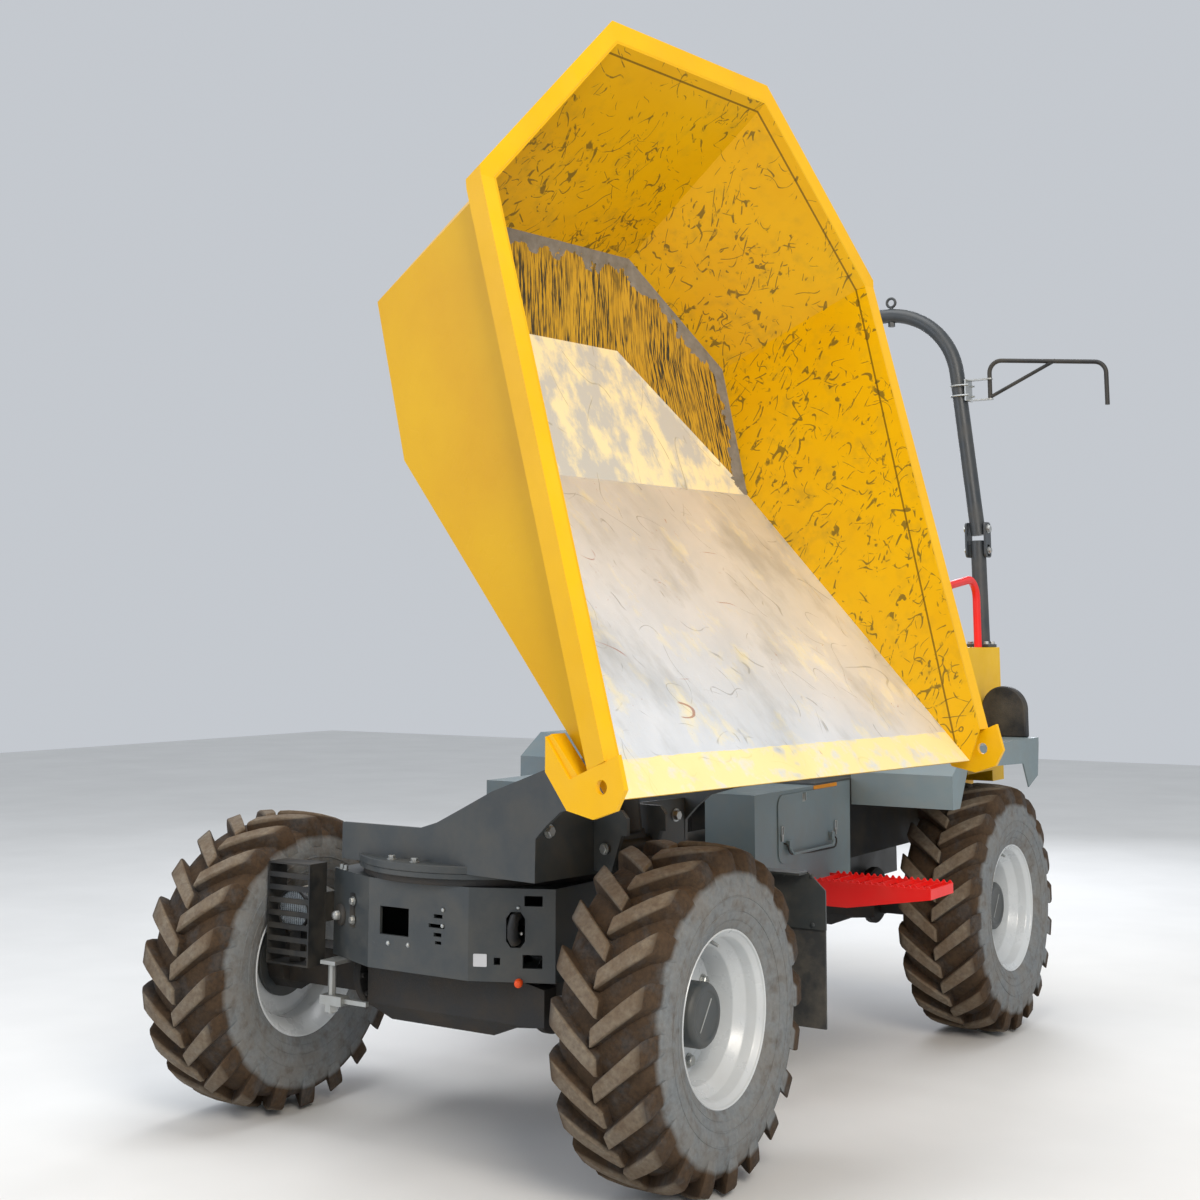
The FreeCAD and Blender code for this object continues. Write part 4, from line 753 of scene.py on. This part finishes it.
dress(meshPiece("handrail_bars", rails, redPaint, "rear_chassis", sharp=50), "handrails")
for side in (1, -1):
    legs += placed(sideBrick(side, legPlan["base"] - legPlan["plate"], legPlan["base"] + legPlan["plate"],
        2.360, 2.448, legPlan["under"], legPlan["foot"]))
    ear = rounded([(2.390, 1.650), (2.450, 1.650), (2.450, 1.785), (2.390, 1.785)], 0.018)
    for x in legPlan["ears"]:
        legs += placed(slab(ear, "x", *sorted((side * x, side * (x + legPlan["thick"])))))
    legs += placed(sideBrick(side, 0.5585, 0.6415, 2.408, 2.432, 1.655, 1.700))
legPiece = meshPiece("hoop_legs", legs, hoopPaint, "rear_chassis", sharp=40)
dress(softened(legPiece, 0.0012), "rops_posts")
bolts, clamps = [], []
for side in (1, -1):
    for z, across in ((1.760, 0.024), (1.677, 0.019)):
        for way, x in ((1, 0.6416), (-1, 0.5584)):
            bolts.append(spots(boltHead(across, 0.011), place(inHoop(side, (x, z))), (side * way, 0, 0)))
    foot = [(side * (legPlan["base"] + dx), 2.404 + dy, legPlan["foot"]) for dx in (-0.032,
        0.032) for dy in (-0.030, 0.030)]
    bolts.append(spots(boltHead(0.017, 0.010), place(foot), (0, 0, 1)))
meshPiece("hoop_bolts", bolts, zincSteel, "rear_chassis", sharp=30)
dress(meshPiece("mirror_bows", bows, blackPaint, "rops_hoop", sharp=50), "mirrors")
angle = np.linspace(-math.pi / 2, math.pi / 2, 13)
for side in (1, -1):
    inner = side * hoopHalf(mirrorPlan["at"])
    low, high = inner + side * 0.034, inner + side * 0.135
    for z in (2.258, 2.337):
        strap = slab(rounded([(low, 2.406), (high, 2.406), (high, 2.434), (low, 2.434)], 0.008), "z", z,
            z + 0.005)
        clamps += placed(strap)
    clamps += placed(brick(*sorted((low, inner + side * 0.040)), 2.386, 2.454, 2.258, 2.342))
    for z in (2.280, 2.320):
        bolt = np.stack([inner - side * 0.032 * np.cos(angle), 2.420 + 0.032 * np.sin(angle),
            np.full(13, z)], -1)
        ends = np.array([[inner + side * 0.050, 2.388, z], [inner + side * 0.050, 2.452, z]])
        clamps.append(tube(place(np.vstack([ends[:1], bolt, ends[1:]])), mirrorPlan["clampBar"], 10))
meshPiece("mirror_clamps", clamps, zincSteel, "rops_hoop", sharp=40)
print("hoop, rails and mirrors made")


# Cylinders: smooth barrels with gland heads, bright rods, painted eyes
# A part of a local frame in the machine's
def along(matrix, part):
    return moved(matrix, part[0]), part[1]


tipPlan = {"base": (0.500, 0.805), "lean": 97.373, "reach": 0.8350, "barrel": 0.440, "radius": 0.042,
    "rod": 0.024, "baseEye": 0.026, "baseHalf": 0.0715, "eye": 0.028, "eyeHalf": 0.045, "overlap": 0.035}
steerPlan = {"base": (0.140, 1.330, 0.700), "reach": 0.730, "barrel": 0.520, "radius": 0.030,
    "rod": 0.014, "baseEye": 0.024, "baseHalf": 0.0239, "eye": 0.022, "eyeHalf": 0.0239, "overlap": 0.110}


# Barrel and rod along +X from the base pin, whose axis is Z
def cylinder(plan):
    r, end = plan["radius"], plan["barrel"]
    profile = eased([(0.030, 0.002), (0.030, r * 0.8), (0.038, r), (end - 0.046, r),
        (end - 0.045, r * 1.04), (end - 0.004, r * 1.04), (end, r * 0.94), (end, plan["rod"] + 0.0045),
        (end - 0.008, plan["rod"] + 0.0003), (end - 0.040, plan["rod"] + 0.0003),
        (end - 0.040, r - 0.008), (0.044, r - 0.008), (0.044, 0.002)], 0.0015)
    barrel = [turned(profile, 48, (0, 0, 0)), tube([(0, 0, -plan["baseHalf"]), (0, 0, plan["baseHalf"])],
        plan["baseEye"], 32), brick(0.0, 0.040, 0.006 - plan["baseEye"], plan["baseEye"] - 0.006,
        -plan["baseHalf"] * 0.7, plan["baseHalf"] * 0.7), tube([(0.10, 0, r), (0.10, 0, r + 0.016)],
        0.011, 16), tube([(end - 0.075, 0, r), (end - 0.075, 0, r + 0.016)], 0.011, 16)]
    bar = [tube([(end - plan["overlap"], 0, 0), (plan["reach"] - plan["eye"] * 0.7, 0, 0)], plan["rod"], 32)]
    eye = [tube([(plan["reach"], 0, -plan["eyeHalf"]), (plan["reach"], 0, plan["eyeHalf"])], plan["eye"],
        32), turned(eased([(plan["reach"] - plan["eye"] - 0.007, 0.001),
        (plan["reach"] - plan["eye"] - 0.007, plan["rod"] + 0.0035),
        (plan["reach"] - plan["eye"] * 0.5, plan["rod"] + 0.0035), (plan["reach"] - plan["eye"] * 0.5,
        0.001)], 0.001), 32, (0, 0, 0))]
    return barrel, bar, eye


# Chrome on the rods: a mirror with a faint film of oil and dust
def hardChrome():
    material, tree, shader = newMaterial("hardChrome")
    film = blotches(tree, add(tree, "TexCoord").outputs["Object"], 0.03, 0.4, 0.7)
    rough = plus(tree, times(tree, film, 0.14), 0.12)
    finish(tree, shader, mixed(tree, film, "#d9dcdd", "#aeb0ae"), rough, Metallic=1.0)
    return material


hardSteel = hardChrome()
upright = Matrix.Rotation(math.radians(90), 4, "X")
tipPlace = (consolePlace @ Matrix.Translation((tipPlan["base"][0], 0, tipPlan["base"][1]))
    @ Matrix.Rotation(-math.radians(tipPlan["lean"]), 4, "Y") @ upright)
steerPlace = Matrix.Translation(place(steerPlan["base"])) @ Matrix.Rotation(math.radians(-90), 4, "Z")
for title, matrix, plan, bodies in (("tip", tipPlace, tipPlan, ("tip_barrels", "tip_rods")),
        ("steer", steerPlace, steerPlan, ("steer_barrel", "steer_rod"))):
    parts = cylinder(plan)
    for kind, group, material, body, slotName in (("barrel", parts[0], blackPaint, bodies[0],
            "cylinder_paint"), ("rod", parts[1], hardSteel, bodies[1], "rod_chrome"),
            ("rod_eye", parts[2], blackPaint, bodies[1], "cylinder_paint")):
        shapes = [along(matrix, part) for part in group]
        piece = meshPiece(title + "_" + kind + "_round", shapes, material, body, sharp=35)
        if kind != "rod_eye":
            dress(piece, body)
print("cylinders made")


# Slewing ring and the console's round floor

# Surface of revolution about Z for a profile of (z, r) rows: the X axis turned up to Z
def spun(profile, segments, centre, side=1):
    points, faces = turned(profile, segments, (0, 0, 0), side)
    return np.stack([points[:, 1], points[:, 2], points[:, 0]], -1) + np.asarray(centre), faces


ringPlan = {"inner": 0.290, "outer": 0.360, "low": 0.704, "high": 0.722, "gap": 0.0003, "turning": 0.372,
    "floor": 0.737, "disc": 0.376, "top": 0.757, "hole": 0.090, "sides": 128, "bolts": 24,
    "circle": 0.3435}


# A ring between two heights and two radii, with small eased edges
def flatRing(low, high, inside, outside, cut, centre):
    rows = [(low, inside), (low, outside), (high, outside), (high, inside)]
    return spun(eased(rows, cut), ringPlan["sides"], centre)


fixed = flatRing(ringPlan["low"], ringPlan["high"], ringPlan["inner"], ringPlan["outer"], 0.0015,
    place((0, skipPlan["ringY"], 0)))
dress(meshPiece("ring_fixed", [fixed], castIron, "front_chassis", sharp=35), "slew_ring")
floor, top = ringPlan["floor"], ringPlan["top"]
turning = [flatRing(ringPlan["high"] + ringPlan["gap"], floor, ringPlan["inner"], ringPlan["turning"],
    0.0015, (0, 0, 0)), flatRing(floor, top, ringPlan["hole"], ringPlan["disc"], 0.002, (0, 0, 0))]
for sheet in ((-0.286, -0.095, -0.310, 0.310), (0.095, 0.455, -0.310, 0.310),
        (-0.095, 0.095, -0.310, -0.095), (-0.095, 0.095, 0.095, 0.310)):
    turning.append(brick(*sheet, floor, top))
dress(meshPiece("console_floor_round", [along(consolePlace, part) for part in turning], machinePaint,
    "console", sharp=35), "console_base")
angles = 2 * math.pi * (np.arange(ringPlan["bolts"]) + 0.5) / ringPlan["bolts"]
circle = ringPlan["circle"] * np.array([np.cos(angles), np.sin(angles)])
ringBolts = np.stack([*circle, np.full(ringPlan["bolts"], top)], -1)
keep = np.abs(np.abs(ringBolts[:, 1]) - 0.304) > 0.022  # none under the console's side plates
heads = spots(boltHead(0.018, 0.011), moved(consolePlace, ringBolts[keep]), (0, 0, 1))
meshPiece("ring_bolts", [heads], zincSteel, "console", sharp=30)
print("slewing ring made")


# Headlamp behind its guard

# Moulded polycarbonate with ribs: lets light through, slightly grey
def clearLens():
    material, tree, shader = newMaterial("clearPolycarbonate")
    coords = add(tree, "TexCoord").outputs["Object"]
    ribs = add(tree, "TexWave", {"Vector": coords, "Scale": 40.0}, bands_direction="X").outputs["Fac"]
    finish(tree, shader, colour("#dfe6ea"), 0.08, ribs, 0.6, 0.002, Transmission_Weight=0.85, IOR=1.45)
    return material


lens = clearLens()
# Lamp bowl: a plain white diffuse coat, not metal; its brightness is a painted reflection that stands for a
# metallised mirror
bowlPaintedReflection = paintedSteel("whiteBowlPaintedReflection", "#f2f3f4", "#e6e8ea", roughness=0.25, dustAmount=0.05,
    scratchAmount=0.0)
lampPlan = {"x": 0.4645, "z": 0.590, "y": -0.184, "radius": 0.058}
spot = (Matrix.Translation(place((-lampPlan["x"], lampPlan["y"], lampPlan["z"])))
    @ Matrix.Rotation(math.radians(90), 4, "Z"))
shell = turned(eased([(0.004, 0.052), (0.0, 0.053), (0.0, 0.058), (0.012, 0.058), (0.030, 0.048),
    (0.040, 0.020), (0.040, 0.001), (0.037, 0.001), (0.036, 0.018), (0.028, 0.045), (0.012, 0.0545)],
    0.001), 48, (0, 0, 0))
bowl = turned([(0.011, 0.052), (0.026, 0.043), (0.0345, 0.017), (0.0345, 0.001), (0.034, 0.001),
    (0.034, 0.0165), (0.0255, 0.0425), (0.011, 0.0515)], 48, (0, 0, 0))
glass = turned([(0.0055, 0.0525), (0.0015, 0.0515), (-0.0005, 0.030), (-0.0010, 0.001), (0.0012, 0.001),
    (0.0016, 0.030), (0.0035, 0.0500)], 48, (0, 0, 0))
arm = brick(0.014, 0.034, -0.020, 0.020, -0.1395, -0.050)
for name, group, material, slotName in (("shell", (shell, arm), blackPlastic, "black_plastic"),
        ("bowl", (bowl,), bowlPaintedReflection, "steel"), ("lens", (glass,), lens, "lamp_glass")):
    piece = meshPiece("headlamp_" + name, [along(spot, part) for part in group], material,
        "front_chassis")
    if name == "shell":
        dress(piece, "headlamps")
print("headlamp made")


# Small parts of the front: plates, bolts, the hook in the oval hole and the plug on the edge
# A round cap: radius shrinks over its height as a quarter of an ellipse
def dome(radius, height, sides=20):
    angle = np.linspace(0, 2 * math.pi, sides, endpoint=False)
    share = np.array([(1.0, 0.0), (1.0, 0.35), (0.93, 0.65), (0.75, 0.86), (0.45, 0.97), (0.06, 1.0)])
    points = np.stack([radius * share[:, :1] * np.cos(angle), radius * share[:, :1] * np.sin(angle),
        height * share[:, 1:] * np.ones(sides)], -1)
    faces = [face[::-1] for face in gridFaces(len(share), sides)]
    return points.reshape(-1, 3), faces + [list(range(sides))[::-1],
        list(range((len(share) - 1) * sides, len(share) * sides))]


# A small upright plate with rounded corners that faces outward
def tile(centre, outward, width, tall, thick=0.0012):
    shape = slab(rounded([(-width / 2, -tall / 2), (width / 2, -tall / 2), (width / 2, tall / 2),
        (-width / 2, tall / 2)], 0.003), "z", 0, thick)
    return spots(shape, centre, outward)


paleLabel = paintedSteel("printedVinyl", "#d9dadc", "#cccdd0", roughness=0.45, dustAmount=0.15,
    scratchAmount=0.1)
amberLabel = paintedSteel("amberVinyl", "#e8940c", "#d98608", roughness=0.4, dustAmount=0.1,
    scratchAmount=0.2)
orangeCap = paintedSteel("orangeNylon", "#ff5a10", "#f04c08", roughness=0.4, dustAmount=0.05,
    scratchAmount=0.0)
leftShoulder, rightShoulder = (0.4087, -0.9126, 0), (-0.4087, -0.9126, 0)  # the nose plate's slanted ends face so
meshPiece("front_label", [tile(place((0.1991, -0.1872, 0.5225)), leftShoulder, 0.036, 0.032)], paleLabel,
    "front_chassis", smooth=False)
plug = spots(dome(0.011, 0.016), place((0.2933, -0.1455, 0.4700)), (0.4087, -0.9126, -0.2))
meshPiece("front_plug", [plug], orangeCap, "front_chassis", sharp=60)
socket = spots(dome(0.030, 0.012, 28), place((-0.3330, -0.1270, 0.5823)), rightShoulder)
hook = tube(place([(0.2860, -0.136, 0.635), (0.2875, -0.158, 0.632), (0.2870, -0.166, 0.610),
    (0.2855, -0.163, 0.585), (0.2840, -0.154, 0.572), (0.2830, -0.138, 0.570)]),
    [0.011, 0.013, 0.014, 0.015, 0.013, 0.010], 14)
bracket = brick(-0.012, 0.012, -0.045, 0.045, 0, 0.004)
meshPiece("front_rubber", [socket, hook, spots(bracket, place((-0.2620, -0.1590, 0.605)), rightShoulder)],
    blackPlastic, "front_chassis", sharp=50)
knobs = spots(dome(0.013, 0.020), place((-0.3330, -0.1380, 0.5823)), rightShoulder)
heads = spots(boltHead(0.017, 0.010), place([(-0.2560, -0.1655, 0.630), (-0.2560, -0.1655, 0.580)]),
    rightShoulder)
nose = spots(dome(0.0055, 0.004), place([(0.0846, -0.2000, 0.5993), (0.0860, -0.2000, 0.6400)]), (0, -1, 0))
under = spots(boltHead(0.008, 0.004), place([(-0.1002, -0.2002, 0.5386), (-0.0310, -0.2002, 0.5401)]),
    (0, -1, 0))
edging = spots(dome(0.0045, 0.003), place([(0.2905, -0.1469, 0.656), (0.2985, -0.1433, 0.592)]), leftShoulder)
wing = spots(boltHead(0.012, 0.012), place([(-0.3230, -0.1240, 0.7045), (-0.3470, -0.1130, 0.7045)]),
    (0, 0, 1))
meshPiece("front_bolts", [knobs, heads, nose, under, edging, wing], zincSteel, "front_chassis",
    sharp=40)

rivets = [(side * x, 0.4990, z) for side in (1, -1) for x in (0.640, 0.727, 0.814) for z in (0.572, 0.700)]
meshPiece("guard_rivets", [spots(dome(0.0065, 0.0035, 14), place(rivets), (0, -1, 0))], machinePaint,
    "front_chassis", sharp=50)

# Cast ribs and flange bolts on the axle housings, which show black under the nose
for name, axleMiddle, body in (("front", 0.0, "front_chassis"), ("rear", 2.05, "rear_chassis")):
    flange = eased([(-0.012, 0.060), (-0.012, 0.098), (0.012, 0.098), (0.012, 0.060)], 0.003)
    parts = [turned(flange, 48, place((x, axleMiddle, 0.418))) for x in (-0.300, -0.170, 0.170, 0.300)]
    turns = np.arange(10) * math.pi / 5  # ten bolts
    ring = np.stack([np.zeros(10), 0.086 * np.cos(turns), 0.086 * np.sin(turns)], -1)
    for x, way in ((-0.288, 1), (-0.182, -1), (0.182, 1), (0.288, -1)):
        parts.append(spots(boltHead(0.013, 0.009), ring + place((x, axleMiddle, 0.418)), (way, 0, 0)))
    meshPiece("axle_flanges_" + name, parts, castIron, body, sharp=35)
print("front fittings made")


# Console: bolts of the front plate and of the cylinder's pin
plate = moved(consolePlace, [(0.4550, 0.2585, 0.8605), (0.4550, -0.2585, 0.8605)])
pinEnds = moved(consolePlace, [(0.500, -0.0955, 0.805), (0.500, 0.0955, 0.805)])
aheadOfPlate, acrossConsole = np.array(consoleTurn)[:3, 0], np.array(consoleTurn)[:3, 1]
meshPiece("console_bolts", [spots(boltHead(0.024, 0.013), plate, aheadOfPlate),
    spots(boltHead(0.020, 0.008), pinEnds, [-acrossConsole, acrossConsole])], zincSteel, "console",
    sharp=40)

# Side lid: wire bail, two draw latches and the key's plate
wire = place([(0.5030, 0.940, 0.7235), (0.5130, 0.940, 0.722), (0.5170, 0.941, 0.718),
    (0.5185, 0.943, 0.706), (0.5190, 0.950, 0.696), (0.5190, 0.962, 0.691), (0.5190, 1.110, 0.683),
    (0.5190, 1.258, 0.681), (0.5190, 1.272, 0.684), (0.5185, 1.281, 0.694), (0.5170, 1.284, 0.706),
    (0.5130, 1.285, 0.710), (0.5030, 1.285, 0.7115)])
meshPiece("lid_bail", [tube(wire, 0.0028, 12)], blackPaint, "side_lid")
latches = []
for y, z in ((0.922, 0.745), (1.298, 0.731)):
    latches += [brick(0.5003, 0.5033, y - 0.008, y + 0.008, z - 0.022, z + 0.022),
        brick(0.5033, 0.5105, y - 0.0045, y + 0.0045, z - 0.014, z + 0.006)]
    loop = roundedRoute([(0.509, y - 0.006, z + 0.002), (0.511, y - 0.006, z + 0.030),
        (0.511, y + 0.006, z + 0.030), (0.509, y + 0.006, z + 0.002)], 0.004, 5)
    latches.append(tube(loop, 0.0016, 8))
latches.append(brick(0.5003, 0.5045, 1.070, 1.092, 0.838, 0.862))
latches.append(brick(0.5045, 0.5125, 1.079, 1.083, 0.842, 0.866))
meshPiece("lid_latches", placed(*latches), zincSteel, "side_lid", sharp=40)
meshPiece("side_label", [tile(place((0.5003, 1.243, 0.8740)), (1, 0, 0), 0.170, 0.0115)], amberLabel,
    "rear_chassis", smooth=False)

# Steps: a row of teeth on both long edges; black sheets between the side boxes and the rear wheels, which are
# painted shade over the engine bay seen through that gap
teeth = []
for side in (1, -1):
    for y in (1.092, 1.264):
        for x in np.arange(0.520, 0.900, 0.021):
            corners = [(side * x, 0.598), (side * (x + 0.018), 0.598), (side * (x + 0.011), 0.608),
                (side * (x + 0.007), 0.608)]
            teeth.append(slab(corners, "y", y, y + 0.004))
meshPiece("step_teeth", placed(*teeth), redPaint, "rear_chassis", smooth=False)
# Painted shade: thin black sheets that stand for the shadow in the engine bay, not parts of the machine
shadeSheetPlan = {"x": 0.400, "half": 0.0015}
sheets = [sideBrick(side, shadeSheetPlan["x"] - shadeSheetPlan["half"], shadeSheetPlan["x"] + shadeSheetPlan["half"], 1.440,
    2.290, 0.600, 0.858) for side in (1, -1)]
meshPiece("painted_shade_sheets", placed(*sheets), blackPlastic, "rear_chassis", smooth=False)
print("side fittings made")


# Steering wheel: rim as a ring about the column, three spokes and a boss
wheelPlan = {"top": (0, 1.500, 1.440), "way": (0, 80, 100), "radius": 0.175, "grip": 0.013, "out": 0.022}
axis = Vector(wheelPlan["way"]).normalized()
sideways = Vector((1, 0, 0))
wheelPlace = Matrix.Translation(place(wheelPlan["top"])) @ Matrix((axis, sideways,
    axis.cross(sideways))).transposed().to_4x4()
angle = np.linspace(0, 2 * math.pi, 18, endpoint=False)
grip = np.stack([wheelPlan["out"] + wheelPlan["grip"] * np.sin(angle),
    wheelPlan["radius"] + wheelPlan["grip"] * np.cos(angle)], -1)
parts = [turned(grip, 84, (0, 0, 0))]
parts.append(turned(eased([(-0.060, 0.001), (-0.060, 0.022), (-0.010, 0.030), (0.004, 0.042),
    (0.016, 0.040), (0.022, 0.028), (0.024, 0.001)], 0.002, closed=False), 40, (0, 0, 0), closed=False))
for turn in (90, 210, 330):
    way = np.array([0, math.cos(math.radians(turn)), math.sin(math.radians(turn))])
    route = [way * r + (x, 0, 0) for r, x in ((0.030, 0.004), (0.070, 0.006), (0.120, 0.014), (0.172, 0.021))]
    parts.append(tube(route, [0.011, 0.009, 0.0085, 0.009], 14))
ring = [along(wheelPlace, part) for part in parts]
dress(meshPiece("steering_wheel_ring", ring, blackPlastic, "rear_chassis", sharp=50),
    "steering_wheel")

# Rear lamps: round-topped housings with a red lens and an amber lens behind
rearPlan = {"x": 0.743, "z": 1.088, "base": 0.988, "radius": 0.082, "y": (2.237, 2.277)}
redLens = paintedSteel("redAcrylic", "#a30d0a", "#8d0a08", roughness=0.12, dustAmount=0.1, scratchAmount=0.1)
amberLens = paintedSteel("amberAcrylic", "#e07a08", "#cc6c06", roughness=0.12, dustAmount=0.1,
    scratchAmount=0.1)
housings, reds, ambers = [], [], []
for side in (1, -1):
    arc = np.radians(np.linspace(0, 180, 29))
    top = np.stack([side * rearPlan["x"] + rearPlan["radius"] * np.cos(arc),
        rearPlan["z"] + rearPlan["radius"] * np.sin(arc)], -1)
    low = [(side * rearPlan["x"] - rearPlan["radius"], rearPlan["base"]),
        (side * rearPlan["x"] + rearPlan["radius"], rearPlan["base"])]
    housings.append(slab(np.concatenate([top, low]), "y", *rearPlan["y"]))
    for store, z, size in ((reds, 1.100, 0.055), (ambers, 1.018, 0.022)):
        store.append(spots(dome(size, 0.009, 32), (side * rearPlan["x"], rearPlan["y"][1], z), (0, 1, 0)))
housing = meshPiece("rear_lamp_housings", placed(*housings), blackPlastic, "rear_chassis",
    sharp=30)
dress(softened(housing, 0.006, 3), "rear_lamps")
for name, store, material in (("red", reds, redLens), ("amber", ambers, amberLens)):
    meshPiece("rear_lenses_" + name, placed(*store), material, "rear_chassis", sharp=50)
print("controls and lamps made")


# Seat: two vinyl pads filled by pressure, each with a welt seam
# Expanded vinyl on fabric: fine leather grain, soft sheen, patches of dust
def vinyl():
    material, tree, shader = newMaterial("seatVinyl")
    coords = add(tree, "TexCoord").outputs["Object"]
    grain = add(tree, "TexVoronoi", {"Vector": coords, "Scale": 420.0}).outputs["Distance"]  # 2.4 mm cells
    dusty = blotches(tree, coords, 0.10, 0.45, 0.75, 6.0)
    body = mixed(tree, times(tree, dusty, 0.25), "#1b1c1e", "#4a463f")
    finish(tree, shader, body, plus(tree, times(tree, dusty, 0.2), 0.42, True), grain, 0.35, 0.0006)
    return material


# The places of a mesh's points, one row each
def cornersOf(mesh):
    values = np.empty(len(mesh.vertices) * 3)
    mesh.vertices.foreach_get("co", values)
    return values.reshape(-1, 3)


# A pad from a flat outline: remeshed evenly, blown up as cloth, moved by limit at most, flat where it rests
def filled(name, outline, along, low, high, limit, rest, seam, material):
    mesh = bpy.data.meshes.new(name)
    points, faces = slab(rounded(outline, 0.045, 6), along, low, high)
    mesh.from_pydata(place(points).tolist(), [], faces)
    piece = bpy.data.objects.new(name, mesh)
    bpy.context.scene.collection.objects.link(piece)
    soft = piece.modifiers.new("soft", "BEVEL")
    soft.width, soft.segments, soft.limit_method = 0.018, 3, "ANGLE"
    even = piece.modifiers.new("even", "REMESH")
    even.mode, even.voxel_size = "VOXEL", 0.0065
    mesh = bpy.data.meshes.new_from_object(piece.evaluated_get(bpy.context.evaluated_depsgraph_get()))
    piece.modifiers.clear()
    piece.data = mesh
    start = end = cornersOf(mesh)
    cloth = piece.modifiers.new("filling", "CLOTH")
    cloth.settings.use_pressure = True
    cloth.settings.uniform_pressure_force = 4.0
    cloth.settings.effector_weights.gravity = 0.0
    for step in range(1, 21):
        bpy.context.scene.frame_set(step)
    end = cornersOf(piece.evaluated_get(bpy.context.evaluated_depsgraph_get()).data)
    piece.modifiers.clear()
    bpy.context.scene.frame_set(1)
    move = end - start
    move -= move.mean(0)
    length = np.linalg.norm(move, axis=1, keepdims=True)
    move *= np.minimum(1.0, limit / np.maximum(length, 1e-9))
    points = start + move
    axis = "xyz".index(along)
    local = points - shift
    # Welt seam: a groove 3 mm deep round the pad, depth = 0.003 exp(-(distance / 0.004) ** 2)
    middle = local.mean(0)
    inward = middle - local
    inward[:, axis] = 0
    inward /= np.maximum(np.linalg.norm(inward, axis=1, keepdims=True), 1e-9)
    groove = 0.003 * np.exp(-((local[:, axis] - seam) / 0.004) ** 2)
    local += inward * groove[:, None]
    local[:, axis] = np.clip(local[:, axis], *rest)
    mesh.vertices.foreach_set("co", place(local).ravel())
    mesh.materials.clear()
    mesh.materials.append(material)
    mesh.shade_smooth()
    fine = piece.modifiers.new("fine", "SUBSURF")
    fine.levels = fine.render_levels = 1
    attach(piece, "rear_chassis")
    return piece


seatVinyl = vinyl()
cushion = filled("seat_cushion", [(-0.222, 1.662), (0.222, 1.662), (0.222, 1.935), (-0.222, 1.935)], "z",
    1.206, 1.262, 0.022, (1.2002, 1.300), 1.232, seatVinyl)
backrest = filled("seat_backrest", [(-0.212, 1.322), (0.212, 1.322), (0.200, 1.682), (-0.200, 1.682)],
    "y", 1.966, 2.020, 0.022, (1.9500, 2.0398), 1.992, seatVinyl)
dress(cushion, "seat_pads")
dress(backrest, "seat_pads")
print("seat pads filled")


# Small bevels on the CAD nodes that stay in view, so that their edges catch the light
bevelled = {0.0025: ["front_frame", "casing", "hood", "rear_frame", "console_cheeks", "ram_ears",
    "mudguards"], 0.0015: ["side_boxes", "side_lid", "fenders", "operator_deck", "steps", "lamp_guards",
    "tow_pin", "skip_ears", "skip_rim", "skip_brackets", "tail_hitch", "front_axle", "rear_axle", "dash",
    "seat_base", "hood_grille", "engine_block", "rear_lamps"]}
for width, names in bevelled.items():
    for name in names:
        edge = nodes[name].modifiers.new("softEdges", "BEVEL")
        edge.width, edge.segments, edge.limit_method = width, 2, "ANGLE"
        edge.angle_limit = math.radians(32)
        edge.harden_normals = True
print("edges softened")


# Floor, sky and lights

# Pale matt floor, one even tone
def floorMaterial():
    material, tree, shader = newMaterial("palePlaster")
    coords = add(tree, "TexCoord").outputs["Object"]
    tone = blotches(tree, coords, 0.8, 0.3, 0.7, 3.0)
    finish(tree, shader, mixed(tree, tone, "#e3e3e1", "#dcdcda"), 0.75)
    return material


floorHalf = 14.0
floorMesh = bpy.data.meshes.new("floor")
floorMesh.from_pydata([(-floorHalf, -floorHalf, 0), (floorHalf, -floorHalf, 0), (floorHalf, floorHalf, 0),
    (-floorHalf, floorHalf, 0)], [], [[0, 1, 2, 3]])
floorMesh.materials.append(floorMaterial())
floor = bpy.data.objects.new("floor", floorMesh)
bpy.context.scene.collection.objects.link(floor)

world = bpy.data.worlds.new("paleSky")
bpy.context.scene.world = world
world.use_nodes = True
world.node_tree.nodes["Background"].inputs[0].default_value = colour("#e6ebf2")
world.node_tree.nodes["Background"].inputs[1].default_value = 0.70
# Light name: place, aim, size of the panel, strength in watts, colour
lights = {"key": ((5.5, -4.0, 5.0), (0.2, 0.6, 1.0), 3.0, 385, "#fff6ea"),
    "fill": ((-4.0, -4.5, 3.0), (0.0, 0.6, 1.0), 3.5, 110, "#eaf1ff"),
    "top": ((0.0, 0.5, 6.5), (0.0, 0.8, 0.8), 4.0, 190, "#ffffff"),
    "back": ((-1.5, 6.5, 3.5), (0.0, 0.8, 1.4), 3.0, 130, "#f4f7ff")}
for name, (spot, aim, size, strength, tint) in lights.items():
    data = bpy.data.lights.new(name, "AREA")
    data.size, data.energy, data.color = size, strength, colour(tint)[:3]
    light = bpy.data.objects.new(name, data)
    bpy.context.scene.collection.objects.link(light)
    light.location = Vector(place(spot))
    light.rotation_euler = (Vector(place(aim)) - light.location).to_track_quat("-Z", "Y").to_euler()
bpy.context.scene.view_settings.view_transform = "Standard"
bpy.context.scene.view_settings.look = "None"
print("lights set")
